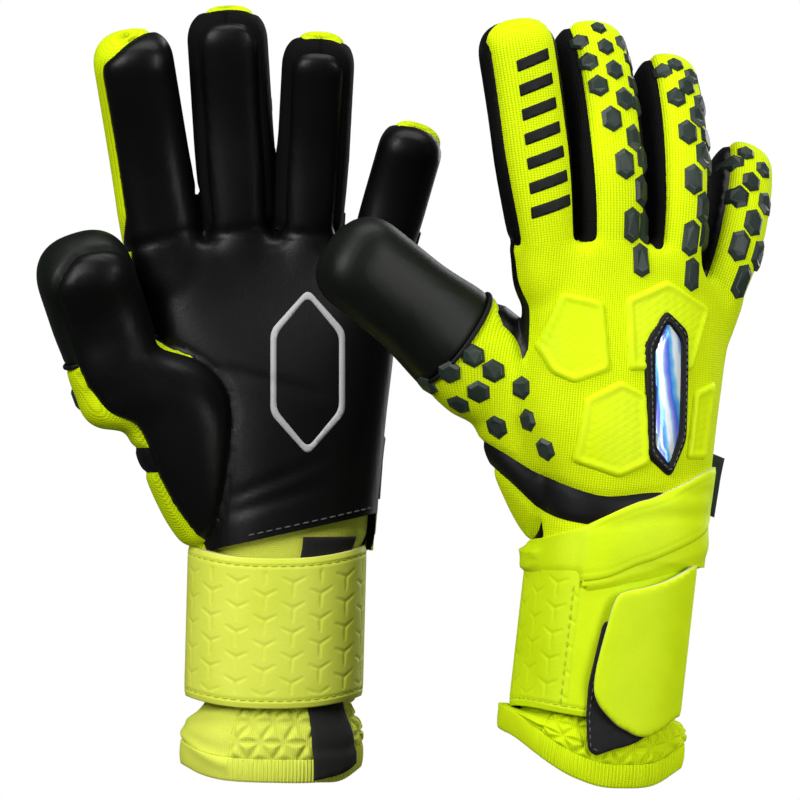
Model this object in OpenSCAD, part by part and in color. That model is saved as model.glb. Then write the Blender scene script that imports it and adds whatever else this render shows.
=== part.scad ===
// A pair of goalkeeper gloves standing upright on their cuffs, in millimetres, +Z up.
// Both gloves come from one set of modules. Each is drawn in its own frame:
// x runs across the hand with the thumb at -x, y points towards the palm, z goes up from the hem.
// The right glove is that frame turned a little; the left glove is the same frame mirrored in y.

/* [Fingers] */
// Length from the base crease to the tip: index, middle, ring, little
finger_len = [85, 90, 82.5, 64]; // [50:0.5:105]
// Width at half length: index, middle, ring, little
finger_w = [30, 29, 27, 24]; // [19:0.5:32]
// Thickness from palm to back: index, middle, ring, little
finger_d = [24, 25, 24, 21]; // [19:0.5:28]
// Width at the base as a share of the width at half length
base_taper = 0.88; // [0.8:0.01:0.95]
// Space between neighbouring finger bases
finger_gap = 1.4; // [1:0.1:4]
// How far a finger folds towards the palm, degrees
finger_fold = 80; // [40:1:85]

/* [Hand] */
// Wrist seam to the base of the middle finger
palm_len = 114; // [90:1:130]
// How far each base sits below the middle one: index, middle, ring, little
knuckle_drop = [3, 0, 1, 14]; // [0:0.5:18]
// How far each base sits towards the palm, the arch of the hand
knuckle_arch = [2, 0, 2, 8]; // [0:0.5:12]
// How far the palm swells out between wrist and fingers
palm_crown = 5; // [1:0.5:9]
// How far the back of the hand swells out
back_crown = 3; // [1:0.5:6]

/* [Thumb] */
// Length of the thumb beyond its joint
thumb_len = 60; // [45:1:75]
// Width of the thumb
thumb_w = 37; // [30:0.5:42]
// Thickness of the thumb
thumb_d = 31; // [25:0.5:36]
// Middle of the thumb joint, measured from the wrist
thumb_at = [-63, 20, 66]; // [-75:0.5:75]
// Distance from the joint back to the point the thumb swings about
thumb_swing_r = 40; // [30:1:60]

/* [Panels] */
// Thickness of a foam latex palm panel
latex_t = 4.5; // [3:0.25:6]
// Thickness of a knitted back panel
knit_t = 3; // [2:0.25:4]
// Thickness of the stretch strips between front and back
gusset_t = 2; // [1.5:0.25:3]
// Gap left at every seam
seam_gap = 0.6; // [0.4:0.1:1]

/* [Cuff] */
// Height of the cuff, hem to wrist seam
cuff_h = 96; // [80:1:110]
// Width and depth of the cuff where the strap grips it
cuff_grip = [56, 46]; // [44:1:70]
// Width and depth of the cuff at the hem
cuff_foot = [70, 56]; // [52:1:78]
// Height up to which the cuff keeps the hem's width, below the strap
flare_z = 24; // [12:1:30]
// How far the hem rises at its sides: left glove thumb side and other side, right glove the same
hem_rise = [[10, 10], [15, 9]]; // [0:1:18]
// Thickness of the cuff fabric
cuff_t = 3; // [2:0.25:4]
// Height of the ribbed hem
hem_h = 9; // [6:1:14]

/* [Strap] */
// Height of the strap's lower edge above the floor
strap_z = 31; // [20:1:36]
// Height of the strap band
strap_h = 58; // [40:1:58]
// Thickness of the strap
strap_t = 3; // [2:0.25:4]
// How far the tab's corner hangs below the strap
tab_drop = 11; // [4:1:14]
// How far the tab reaches round the cuff, degrees
tab_turn = 82; // [60:1:100]
// Thickness of each half of the hook and loop fastener
fastener_t = 0.8; // [0.6:0.1:1.2]
// Width and thickness of the pull webbing
webbing = [17, 1.4]; // [1:0.1:22]

/* [Decoration] */
// Height of the studs on the backs of the fingers
stud_h = 2; // [1:0.1:3]
// Width of a stud at the fingertip
stud_w = 4.4; // [3:0.1:5]
// Height of the raised pads on the back of the hand
pad_h = 2.4; // [1:0.1:4]
// Radius of a raised pad
pad_r = 14.5; // [10:0.5:15]

/* [Pose] */
// Sideways lean of the fingers, degrees: index, middle, ring, little
finger_lean = [-12, -4, 2.5, 16]; // [-20:0.5:20]
// Bend of the left fingers towards the palm, tip against base
left_curl = [34, 15, 24, 20]; // [2:1:80]
// Bend of the right fingers towards the palm, tip against base
right_curl = [10, 40, 48, 52]; // [2:1:80]
// Left thumb: lean from upright, bend towards the palm
left_thumb = [-20, 38]; // [-60:1:60]
// Right thumb: lean from upright, bend towards the palm
right_thumb = [-56, 8]; // [-70:1:60]
// Turn about the vertical and sideways tip of the hand: left
left_turn = [0, 0]; // [-30:1:30]
// Turn about the vertical and sideways tip of the hand: right
right_turn = [25, 6]; // [-30:1:30]
// Shift of the wrist against the hem: left, right
wrist_shift = [5, 8]; // [-10:0.5:15]
// Middle of the left hem on the floor
left_at = [-51.2, 51.7]; // [-90:0.5:90]
// Middle of the right hem on the floor
right_at = [73.8, -52.3]; // [-90:0.5:90]

/* [Hidden] */
SIDES = ["left", "right"];
DIGITS = ["index", "middle", "ring", "little"];
PIECES = [
  "palm_latex", "thenar_roll", "backhand_knit", "backhand_pads", "wrist_crescent", "badge",
  "side_label", "hand_studs", "cuff_sleeve", "cuff_hem", "pull_webbing", "wrist_strap",
  "loop_patch", "strap_tab", "hook_patch", "thumb_latex", "thumb_cap",
  "index_latex", "middle_latex", "ring_latex", "little_latex",
  "index_knit", "middle_knit", "ring_knit", "little_knit",
  "middle_gussets", "ring_gussets", "middle_studs", "ring_studs", "little_studs"
];

LATEX = [0.11, 0.11, 0.12];
NEON = [0.86, 0.93, 0.1];
NEON_DARK = [0.7, 0.82, 0.05];
STUD = [0.2, 0.25, 0.22];

// Clearance under what is bonded onto a curved panel
SEAT = 0.6;
// The same under the studs on the rounder fingers
STUD_SEAT = 0.12;
// The wide pads on the back: column share, height share, clearance over the dips each one bridges
PADS = [[0.44, 0.76, 0.9], [0.83, 0.74, 1.75], [0.53, 0.46, 0.9], [0.87, 0.44, 0.9]];
// Clearance between layers that lie on each other
layer_gap = 0.3;
// Rows of points along a digit: even on the shaft, closer on the round tip
DIGIT_ROWS = [0, 0.2, 0.42, 0.64, 0.8, 0.9, 0.96, 1];
// Rows of points from the wrist up to the fingers
HAND_ROWS = [for (i = [0:5]) i / 5];
// Points round the cuff
CUFF_STEPS = 28;
// Roundness of every section: 1 is an ellipse, smaller is squarer
SECTION_POWER = 0.8;
// How far the sleeve reaches up inside the hand
SLEEVE_LAP = 3;
// Space between the sleeve and the inside of the hand panels at the wrist
WRIST_EASE = 2.9;
// Angles at the wrist between which each hand panel lies
BACK_SPAN = [181, 359];
PALM_SPAN = [97, 1];
THENAR_SPAN = [179, 107];
// The label stands out of the side seam, turned towards the back by so many degrees
LABEL_TURN = 40;
// Width of the finger panels round the section, degrees: the front starts and ends here
ROLL_FRONT = [-28, 208];
FLAT_FRONT = [32, 148];
FLAT_BACK = [205, 335];

function mix(a, b, t) = a + (b - a) * t;
function squared(c) = sign(c) * pow(abs(c), SECTION_POWER);
function steps(a, b, n) = [for (i = [0:n]) mix(a, b, i / n)];
function pick(side, left, right) = side == "left" ? left : right;

// Where things sit in a glove's own frame

function wrist(side) = [wrist_shift[side == "left" ? 0 : 1], 0, cuff_h];
function tip_of(side) = pick(side, left_turn, right_turn)[1];

// A point given from the wrist, with the hand's sideways tip worked in
function from_wrist(side, p) =
  let (a = tip_of(side))
  wrist(side) + [p.x * cos(a) + p.z * sin(a), p.y, p.z * cos(a) - p.x * sin(a)];

function base_w(i) = finger_w[i] * base_taper;
function base_step(i) = (base_w(i) + base_w(i + 1)) / 2 + finger_gap;
function knuckle_x(i) = i == 0 ? 0 : knuckle_x(i - 1) + base_step(i - 1);
KNUCKLE_MID = knuckle_x(3) / 2 + 2.5;

// A digit is [base, length, lean, curl, width, depth, taper]
function finger(side, i) = [
  from_wrist(side, [knuckle_x(i) - KNUCKLE_MID, knuckle_arch[i], palm_len - knuckle_drop[i]]),
  finger_len[i], finger_lean[i] + tip_of(side), pick(side, left_curl, right_curl)[i],
  finger_w[i], finger_d[i], base_taper
];
function thumb(side) =
  let (pose = pick(side, left_thumb, right_thumb))
  [from_wrist(side, thumb_at), thumb_len, pose[0] + tip_of(side), pose[1], thumb_w, thumb_d, 1];

// Directions of a digit at distance s from its base: along, across, towards the palm
function along(g) = [sin(g[2]), 0, cos(g[2])];
function across(g) = [cos(g[2]), 0, -sin(g[2])];
function bend(g, s) = s <= 0 ? 0 : g[3] * s / g[1];
function palmward(g, s) = [0, cos(bend(g, s)), 0] - along(g) * sin(bend(g, s));

// The middle line is straight below the base and an even arc above it
function spine(g, s) =
  s <= 0 ? g[0] + along(g) * s
  : let (r = g[1] / (g[3] * PI / 180), a = bend(g, s))
    g[0] + along(g) * r * sin(a) + [0, r * (1 - cos(a)), 0];

// Half sizes of the section, shrunk by inset and closing to a round tip
function dome(g, s, inset) =
  let (round = g[5] * 0.52, left = (g[1] - inset) - s)
  left >= round ? 1 : sqrt(max(0.03, 1 - pow((round - left) / round, 2)));
function half_w(g, s, inset) =
  (g[4] / 2 * mix(g[6], 1, min(1, max(0, s) / g[1] / 0.4)) - inset) * dome(g, s, inset);
function half_d(g, s, inset) = (g[5] / 2 - inset) * dome(g, s, inset);
function digit_point(g, phi, s, inset) =
  spine(g, s) + across(g) * half_w(g, s, inset) * squared(cos(phi))
  + palmward(g, s) * half_d(g, s, inset) * squared(sin(phi));

// Fold groove: a finger and the palm each stop short so that the fold closes without rubbing
function fold_axis(g) = g[5] / 2 - latex_t;
function fold_start(g, phi, inset) =
  seam_gap / 2 + max(0, half_d(g, 0, inset) * squared(sin(phi)) - fold_axis(g)) * tan(finger_fold / 2);

// Thumb joint: both sides follow one circle about the swing point, a little more than a seam apart
function swing_start(g, phi, inset, way) =
  let (x = half_w(g, 0, inset) * squared(cos(phi)), r = thumb_swing_r + way * seam_gap * 2 / 3)
  sqrt(r * r - x * x) - thumb_swing_r;
function swing_point(side) = thumb(side)[0] - along(thumb(side)) * thumb_swing_r;

function hand_edge(g, phi, inset) = digit_point(g, phi, -fold_start(g, phi, inset), inset);
function thumb_edge(g, phi, inset) = digit_point(g, phi, swing_start(g, phi, inset, -1), inset);

// Cuff section at height z, grown by grow. Below the strap it opens out, and its sides rise with the hem.
function grip_share(z) = min(1, max(0, (z - flare_z) / (strap_z - flare_z)));
function side_rise(side, phi, z) =
  let (rise = hem_rise[side == "left" ? 0 : 1][cos(phi) < 0 ? 0 : 1],
    fade = min(1, max(0, (strap_z - z) / (strap_z - hem_h))))
  rise * pow(max(0, 2 * abs(cos(phi)) - 1), 1.5) * fade;
function section_point(side, phi, z, size) =
  [wrist(side).x * z / cuff_h + size.x * squared(cos(phi)), size.y * squared(sin(phi)), z];
function cuff_point(side, phi, z, grow) =
  section_point(side, phi, z, mix(cuff_foot, cuff_grip, grip_share(z)) / 2 + [grow, grow])
  + [0, 0, side_rise(side, phi, z)];
// The hand panels start outside the sleeve, which reaches up into them
function wrist_edge(side, phi, inset) =
  cuff_point(side, phi, cuff_h, latex_t + WRIST_EASE - inset) + [0, 0, seam_gap];

// Columns of the three hand panels. Each list gives the upper ends; the lower ends share the wrist.
function web(side, y, inset) =
  let (a = thumb_edge(thumb(side), 0, 0), b = hand_edge(finger(side, 0), 180, 0))
  mix(a, b, 0.55) + [inset + 6, y, -12];
// Between two finger bases a panel dips to the lower of them
function crotch(side, i, y) =
  let (a = hand_edge(finger(side, i), 0, 0), b = hand_edge(finger(side, i + 1), 180, 0))
  [(a.x + b.x) / 2, (a.y + b.y) / 2 + y, min(a.z, b.z) - 1];
function back_tops(side, inset) = concat(
  [for (phi = [182, 225, 270, 315, 357]) thumb_edge(thumb(side), phi, inset)],
  [web(side, -6 + inset, inset)],
  [for (phi = [195, 230, 270, 312]) hand_edge(finger(side, 0), phi, inset)],
  [for (i = [1, 2]) each concat([crotch(side, i - 1, -6 + inset)],
    [for (phi = [228, 270, 312]) hand_edge(finger(side, i), phi, inset)])],
  [crotch(side, 2, -6 + inset)],
  [for (phi = [228, 270, 312, 358]) hand_edge(finger(side, 3), phi, inset)]);
function palm_tops(side, inset) = concat(
  [web(side, 5 - inset, inset)],
  [for (phi = [160, 125, 90, 52]) hand_edge(finger(side, 0), phi, inset)],
  [for (i = [1, 2]) each concat([crotch(side, i - 1, 6 - inset)],
    [for (phi = [128, 90, 52]) hand_edge(finger(side, i), phi, inset)])],
  [crotch(side, 2, 6 - inset)],
  [for (phi = [128, 90, 52, 2]) hand_edge(finger(side, 3), phi, inset)]);
function thenar_tops(side, inset) =
  [for (phi = steps(178, 3, 6)) thumb_edge(thumb(side), phi, inset)];

// A panel rises from the wrist to its upper ends; swell says how far it bulges at column share u
function panel_point(low, high, v, swell) = mix(low, high, v) + swell * sin(180 * v);
function panel_grid(side, tops, span, inset, swell, rows) =
  let (n = len(tops) - 1)
  [for (v = rows) [for (k = [0:n])
    panel_point(wrist_edge(side, mix(span[0], span[1], k / n), inset), tops[k], v, swell(k / n))]];

BACK_SWELL = function (u) [0, -back_crown * sin(180 * u), 0];
PALM_SWELL = function (u) [11 * pow(1 - u, 3), palm_crown * sin(180 * u), 0];
THENAR_SWELL = function (u) [9 * pow(u, 3), (palm_crown + 4) * sin(180 * u), 0];

// A point on the back of the hand at column share u and height share v, lifted off the panel's own facets
BACK_GRIDS = [for (side = SIDES)
  panel_grid(side, back_tops(side, 0), BACK_SPAN, 0, BACK_SWELL, HAND_ROWS)];
function facet_point(grid, u, v) =
  let (x = u * (len(grid[0]) - 1), y = v * (len(grid) - 1),
    i = min(floor(x), len(grid[0]) - 2), j = min(floor(y), len(grid) - 2), fx = x - i, fy = y - j,
    a = grid[j][i], b = grid[j][i + 1], c = grid[j + 1][i + 1], d = grid[j + 1][i])
  fx >= fy ? a + (b - a) * fx + (c - b) * fy : a + (d - a) * fy + (c - d) * fx;
function back_normal(side, u, v) =
  let (grid = BACK_GRIDS[side == "left" ? 0 : 1], e = 0.04,
    a = facet_point(grid, min(1, u + e), v) - facet_point(grid, max(0, u - e), v),
    b = facet_point(grid, u, min(1, v + e)) - facet_point(grid, u, max(0, v - e)),
    n = cross(b, a))
  -n / norm(n) * sign(n.y);
function back_point(side, u, v, lift) =
  facet_point(BACK_GRIDS[side == "left" ? 0 : 1], u, v) + back_normal(side, u, v) * lift;

// Builders

function flat(lists) = [for (list = lists, item = list) item];
function quad(a, b, c, d) = [[a, b, c], [a, c, d]];

// A closed solid between two grids of the same size; wrap joins the last column to the first.
// flip turns the faces over, for grids whose columns run clockwise seen from outside.
module skin(outer, inner, wrap = false, flip = false) {
  rows = len(outer);
  cols = len(outer[0]);
  cells = wrap ? cols : cols - 1;
  half = rows * cols;
  at = function (r, c, side) side * half + r * cols + c % cols;
  faces = concat(
    flat([for (r = [0:rows - 2], c = [0:cells - 1]) concat(
      quad(at(r, c, 0), at(r + 1, c, 0), at(r + 1, c + 1, 0), at(r, c + 1, 0)),
      quad(at(r, c, 1), at(r, c + 1, 1), at(r + 1, c + 1, 1), at(r + 1, c, 1)))]),
    flat([for (c = [0:cells - 1]) concat(
      quad(at(0, c, 0), at(0, c + 1, 0), at(0, c + 1, 1), at(0, c, 1)),
      quad(at(rows - 1, c, 0), at(rows - 1, c, 1), at(rows - 1, c + 1, 1), at(rows - 1, c + 1, 0)))]),
    wrap ? [] : flat([for (r = [0:rows - 2]) concat(
      quad(at(r, 0, 0), at(r, 0, 1), at(r + 1, 0, 1), at(r + 1, 0, 0)),
      quad(at(r, cols - 1, 0), at(r + 1, cols - 1, 0), at(r + 1, cols - 1, 1), at(r, cols - 1, 1)))]));
  polyhedron(concat(flat(outer), flat(inner)), flip ? [for (f = faces) [f[0], f[2], f[1]]] : faces);
}

// One panel of a digit between two angles of its section
module digit_panel(g, from, to, thick, n, start) {
  outer = [for (f = DIGIT_ROWS) [for (phi = steps(from, to, n))
    digit_point(g, phi, mix(start(phi, 0), g[1], f), 0)]];
  inner = [for (f = DIGIT_ROWS) [for (phi = steps(from, to, n))
    digit_point(g, phi, mix(start(phi, thick), g[1] - thick, f), thick)]];
  skin(outer, inner);
}

module finger_panel(side, i, from, to, thick, n) {
  g = finger(side, i);
  digit_panel(g, from, to, thick, n, function (phi, inset) fold_start(g, phi, inset));
}

// A faceted gem: its foot is a ring of six points on the surface, its flat top a smaller ring above it
module gem(foot, middle, up) {
  top = [for (p = foot) middle + (p - middle) * 0.55 + up * stud_h];
  faces = concat(
    flat([for (k = [0:5]) quad(k, 6 + k, 6 + (k + 1) % 6, (k + 1) % 6)]),
    [for (k = [0:5]) [12, k, (k + 1) % 6]],
    [for (k = [1:4]) [6, 6 + k + 1, 6 + k]]);
  polyhedron(concat(foot, top, [middle]), faces);
}

// Three staggered columns of gems on a finger, larger and longer towards the base
module finger_gems(side, i, rows, spread) {
  g = finger(side, i);
  for (col = [-1:1], row = [0:rows - 1]) {
    t = 0.93 - (row + (col == 0 ? 0.5 : 0)) * 0.86 / rows;
    s = t * g[1];
    phi = 270 + col * spread;
    width = stud_w * mix(1.55, 1, t);
    turn = width * (col == 0 ? 1.4 : 2.4);
    reach = width / 2 * mix(1.8, 1.05, t);
    out = across(g) * squared(cos(phi)) / half_w(g, s, 0)
      + palmward(g, s) * squared(sin(phi)) / half_d(g, s, 0);
    gem([for (a = [0:60:300]) digit_point(g, phi + turn * cos(a), s + reach * sin(a), -STUD_SEAT)],
      digit_point(g, phi, s, -STUD_SEAT), out / norm(out));
  }
}

// A raised pad on the back of the hand: an outline of corners, lifted and bevelled
module back_pad(side, centre, corners, low, high, bevel) {
  n = len(corners);
  ring = function (scale, lift) [for (c = corners)
    back_point(side, centre[0] + c[0] * scale, centre[1] + c[1] * scale, lift)];
  points = concat(ring(0.5, low), ring(1, low), ring(1, high * 0.6), ring(bevel, high),
    [back_point(side, centre[0], centre[1], low), back_point(side, centre[0], centre[1], high)]);
  faces = concat(
    flat([for (r = [0:2], k = [0:n - 1])
      quad(r * n + k, (r + 1) * n + k, (r + 1) * n + (k + 1) % n, r * n + (k + 1) % n)]),
    [for (k = [0:n - 1]) [4 * n, k, (k + 1) % n]],
    [for (k = [0:n - 1]) [4 * n + 1, 3 * n + (k + 1) % n, 3 * n + k]]);
  polyhedron(points, faces);
}

// A flat frame on the back of the hand between an outline and the same outline made smaller
module back_frame(side, centre, corners, hole, low, high) {
  ring = function (scale, lift) [for (c = corners)
    back_point(side, centre[0] + c[0] * scale, centre[1] + c[1] * scale, lift)];
  skin([ring(1, high), ring(hole, high)], [ring(1, low), ring(hole, low)], wrap = true);
}

// Hexagon corners with a point halfway along each side, in shares of the back
function hexagon(u, v, turn) = [for (k = [0:11])
  let (a = k * 30 + turn, r = k % 2 == 0 ? 1 : cos(30)) [u * r * cos(a), v * r * sin(a)]];

// A patch on the cuff between two angles and two heights
module cuff_patch(side, from, to, n, low, high, grow, thick) {
  grid = function (g) [for (z = [low, high]) [for (phi = steps(from, to, n)) cuff_point(side, phi, z, g)]];
  skin(grid(grow + thick), grid(grow), flip = from > to);
}

// A closed band round the cuff from rows of [height, grow]
module cuff_ring(side, rows, thick) {
  grid = function (inset) [for (r = rows) [for (k = [0:CUFF_STEPS - 1])
    cuff_point(side, k * 360 / CUFF_STEPS, r[0], r[1] - inset)]];
  skin(grid(0), grid(thick), wrap = true);
}

// Middle and half size of the badge, in shares of the back
BADGE_AT = [0.69, 0.58];
BADGE_SIZE = [0.05, 0.16];

// Stack of layers outside the cuff, each a clearance above the last
webbing_grow = layer_gap;
strap_grow = webbing_grow + webbing[1] + layer_gap;
loop_grow = strap_grow + strap_t + layer_gap;
hook_grow = loop_grow + fastener_t + layer_gap;
tab_grow = hook_grow + fastener_t + layer_gap;
strap_top = strap_z + strap_h;
TAB_FROM = 335;
// Where along the tab its lower corner hangs, and how far the end rises beyond it
TAB_CORNER = 0.8;
TAB_END_RISE = 15;

// The tab hangs straight down from the strap, clear of the cuff that opens out below
function tab_share(phi) = (TAB_FROM - phi) / tab_turn;
function tab_low(phi) =
  let (s = tab_share(phi), over = max(0, s - TAB_CORNER) / (1 - TAB_CORNER))
  strap_z - tab_drop * min(1, s / TAB_CORNER) + TAB_END_RISE * over;
function tab_high(phi) = strap_top - 2 - 9 * tab_share(phi);
function tab_point(side, phi, z, grow) = section_point(side, phi, z, cuff_grip / 2 + [grow, grow]);

// The pieces

module palm_latex(side) {
  color(LATEX) skin(
    panel_grid(side, palm_tops(side, 0), PALM_SPAN, 0, PALM_SWELL, HAND_ROWS),
    panel_grid(side, palm_tops(side, latex_t), PALM_SPAN, latex_t, PALM_SWELL, HAND_ROWS), flip = true);
}

module thenar_roll(side) {
  color(LATEX) skin(
    panel_grid(side, thenar_tops(side, 0), THENAR_SPAN, 0, THENAR_SWELL, HAND_ROWS),
    panel_grid(side, thenar_tops(side, latex_t), THENAR_SPAN, latex_t, THENAR_SWELL, HAND_ROWS), flip = true);
}

module backhand_knit(side) {
  color(NEON_DARK) skin(
    panel_grid(side, back_tops(side, 0), BACK_SPAN, 0, BACK_SWELL, HAND_ROWS),
    panel_grid(side, back_tops(side, knit_t), BACK_SPAN, knit_t, BACK_SWELL, HAND_ROWS));
}

module backhand_pads(side) {
  size = [pad_r * 0.0062, pad_r * 0.0088];
  color(NEON) for (c = PADS)
    back_pad(side, c, hexagon(min(size[0], 0.99 - c[0]), size[1], 30), c[2], c[2] + pad_h, 0.8);
}

module badge(side) {
  color("black") back_frame(side, BADGE_AT, hexagon(BADGE_SIZE[0], BADGE_SIZE[1], 30), 0.7, SEAT, 1.5);
  film = hexagon(BADGE_SIZE[0] * 0.6, BADGE_SIZE[1] * 0.64, 30);
  color("skyblue") back_pad(side, BADGE_AT, film, SEAT, 1.2, 0.9);
}

module wrist_crescent(side) {
  grid = function (lift) [for (r = [0:2]) [for (u = steps(0.12, 0.86, 12))
    back_point(side, u, 0.03 + r / 2 * 0.17 * pow(sin(mix(20, 160, (u - 0.12) / 0.74)), 0.7), lift)]];
  color(LATEX) skin(grid(SEAT + 0.8), grid(SEAT));
}

module hand_studs(side) {
  color(STUD) for (row = [0:3], col = [0:1]) {
    u = 0.26 + row * 0.04 + col * 0.07;
    v = 0.82 - row * 0.14 - col * 0.06;
    gem([for (a = [0:60:300]) back_point(side, u + 0.022 * cos(a), v + 0.032 * sin(a), SEAT)],
      back_point(side, u, v, SEAT), back_normal(side, u, v));
  }
}

module side_label(side) {
  edge = function (v) mix(wrist_edge(side, 0, 0), hand_edge(finger(side, 3), 0, 0), v);
  out = [cos(LABEL_TURN), -sin(LABEL_TURN), 0];
  face = [sin(LABEL_TURN), cos(LABEL_TURN), 0];
  grid = function (t) [for (v = [0.16, 0.36]) [for (x = [1, 8.5]) edge(v) + out * x + face * t]];
  color("darkgreen") skin(grid(-0.6), grid(0.6));
}

module thumb_latex(side) {
  g = thumb(side);
  color(LATEX) digit_panel(g, -24, 204, latex_t, 10,
    function (phi, inset) swing_start(g, phi, inset, 1));
}

module thumb_cap(side) {
  g = thumb(side);
  color([0.09, 0.1, 0.09]) digit_panel(g, 206, 334, knit_t, 6,
    function (phi, inset) swing_start(g, phi, inset, 1));
}

module rolled_latex(side, i) {
  color(LATEX) finger_panel(side, i, ROLL_FRONT[0], ROLL_FRONT[1], latex_t, 9);
}

module flat_latex(side, i) {
  color(LATEX) finger_panel(side, i, FLAT_FRONT[0], FLAT_FRONT[1], latex_t, 6);
}

module rolled_knit(side, i) {
  color(NEON) finger_panel(side, i, ROLL_FRONT[1] + 2, 358 + ROLL_FRONT[0], knit_t, 5);
}

module flat_knit(side, i) {
  color(NEON) finger_panel(side, i, FLAT_BACK[0], FLAT_BACK[1], knit_t, 6);
}

module gussets(side, i) {
  color("black") {
    finger_panel(side, i, FLAT_BACK[1] + 2 - 360, FLAT_FRONT[0] - 2, gusset_t, 3);
    finger_panel(side, i, FLAT_FRONT[1] + 2, FLAT_BACK[0] - 2, gusset_t, 3);
  }
}

module finger_studs(side, i, rows) {
  color(STUD) finger_gems(side, i, rows, 36);
}

// The sleeve's upper end opens out to the inside of the hand panels, which it is sewn to
module cuff_sleeve(side) {
  straight = [for (z = [hem_h + layer_gap / 2, flare_z, strap_z, cuff_h - 1]) [z, 0]];
  color(NEON) cuff_ring(side, concat(straight, [[cuff_h + SLEEVE_LAP, WRIST_EASE - layer_gap]]), cuff_t);
}

module cuff_hem(side) {
  color(NEON_DARK) cuff_ring(side, [[0, 0.6], [hem_h, 0.6]], cuff_t + 0.8);
}

module pull_webbing(side) {
  turn = webbing[0] / cuff_grip[0] * 90;
  grid = function (g) [for (z = [hem_h + 2, flare_z, strap_z, cuff_h - 1])
    [for (phi = steps(50 + turn, 50 - turn, 5)) cuff_point(side, phi, z, g)]];
  color("black") skin(grid(webbing_grow + webbing[1]), grid(webbing_grow), flip = true);
}

// The band round the cuff, and the upper turn that crosses the back of the hand on a slant
module wrist_strap(side) {
  upper = function (lift) [for (r = [0:2]) [for (u = steps(0.2, 0.98, 9))
    back_point(side, u, mix(0.01, 0.05 + 0.17 * u * u, r / 2), lift)]];
  color(NEON_DARK) {
    cuff_ring(side, [for (z = [strap_z, strap_top]) [z, strap_grow + strap_t]], strap_t);
    skin(upper(SEAT + 1.3 + strap_t), upper(SEAT + 1.3));
  }
}

module loop_patch(side) {
  color("black") cuff_patch(side, TAB_FROM - tab_turn * 0.3, TAB_FROM - tab_turn * 1.12, 8,
    strap_z + 1, strap_z + strap_h * 0.6, loop_grow, fastener_t);
}

module hook_patch(side) {
  color([0.2, 0.2, 0.2]) cuff_patch(side, TAB_FROM - tab_turn * 0.45, TAB_FROM - tab_turn * 0.92, 6,
    strap_z + 4, strap_z + strap_h * 0.55, hook_grow, fastener_t);
}

module strap_tab(side) {
  rows = 3;
  grid = function (g) [for (r = [0:rows]) [for (phi = steps(TAB_FROM, TAB_FROM - tab_turn, 10))
    tab_point(side, phi, mix(tab_low(phi), tab_high(phi), r / rows), g)]];
  color(NEON_DARK) skin(grid(tab_grow + strap_t), grid(tab_grow), flip = true);
}

// Puts a glove in the pair's frame
module place(side) {
  at = pick(side, left_at, right_at);
  turn = pick(side, left_turn, right_turn)[0];
  translate([at.x, at.y, 0]) rotate([0, 0, turn]) mirror([0, side == "left" ? 1 : 0, 0]) children();
}

// Draws a piece of one glove when its node is asked for
module piece(side, name) {
  place(side) children();
}

for (side = SIDES) {
  piece(side, "palm_latex") palm_latex(side);
  piece(side, "thenar_roll") thenar_roll(side);
  piece(side, "backhand_knit") backhand_knit(side);
  piece(side, "backhand_pads") backhand_pads(side);
  piece(side, "wrist_crescent") wrist_crescent(side);
  piece(side, "badge") badge(side);
  piece(side, "side_label") side_label(side);
  piece(side, "hand_studs") hand_studs(side);
  piece(side, "cuff_sleeve") cuff_sleeve(side);
  piece(side, "cuff_hem") cuff_hem(side);
  piece(side, "pull_webbing") pull_webbing(side);
  piece(side, "wrist_strap") wrist_strap(side);
  piece(side, "loop_patch") loop_patch(side);
  piece(side, "strap_tab") strap_tab(side);
  piece(side, "hook_patch") hook_patch(side);
  piece(side, "thumb_latex") thumb_latex(side);
  piece(side, "thumb_cap") thumb_cap(side);
  piece(side, "index_latex") rolled_latex(side, 0);
  piece(side, "middle_latex") flat_latex(side, 1);
  piece(side, "ring_latex") flat_latex(side, 2);
  piece(side, "little_latex") rolled_latex(side, 3);
  piece(side, "index_knit") rolled_knit(side, 0);
  piece(side, "middle_knit") flat_knit(side, 1);
  piece(side, "ring_knit") flat_knit(side, 2);
  piece(side, "little_knit") rolled_knit(side, 3);
  piece(side, "middle_gussets") gussets(side, 1);
  piece(side, "ring_gussets") gussets(side, 2);
  piece(side, "middle_studs") finger_studs(side, 1, 6);
  piece(side, "ring_studs") finger_studs(side, 2, 5);
  piece(side, "little_studs") finger_studs(side, 3, 4);
}
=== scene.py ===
"""Dresses the goalkeeper gloves: one sewn skin per glove, cut into its panels, then trim, cuff and strap.

Every glove is modelled in its hand frame, in millimetres: x across the hand with the thumb at -x,
y towards the palm, z from the wrist to the fingertips. Glove.world() puts points into the row frame.
"""
import math

import bpy
import numpy as np
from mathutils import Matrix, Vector
from mathutils.bvhtree import BVHTree
from mathutils.geometry import delaunay_2d_cdt
from mathutils.kdtree import KDTree


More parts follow.
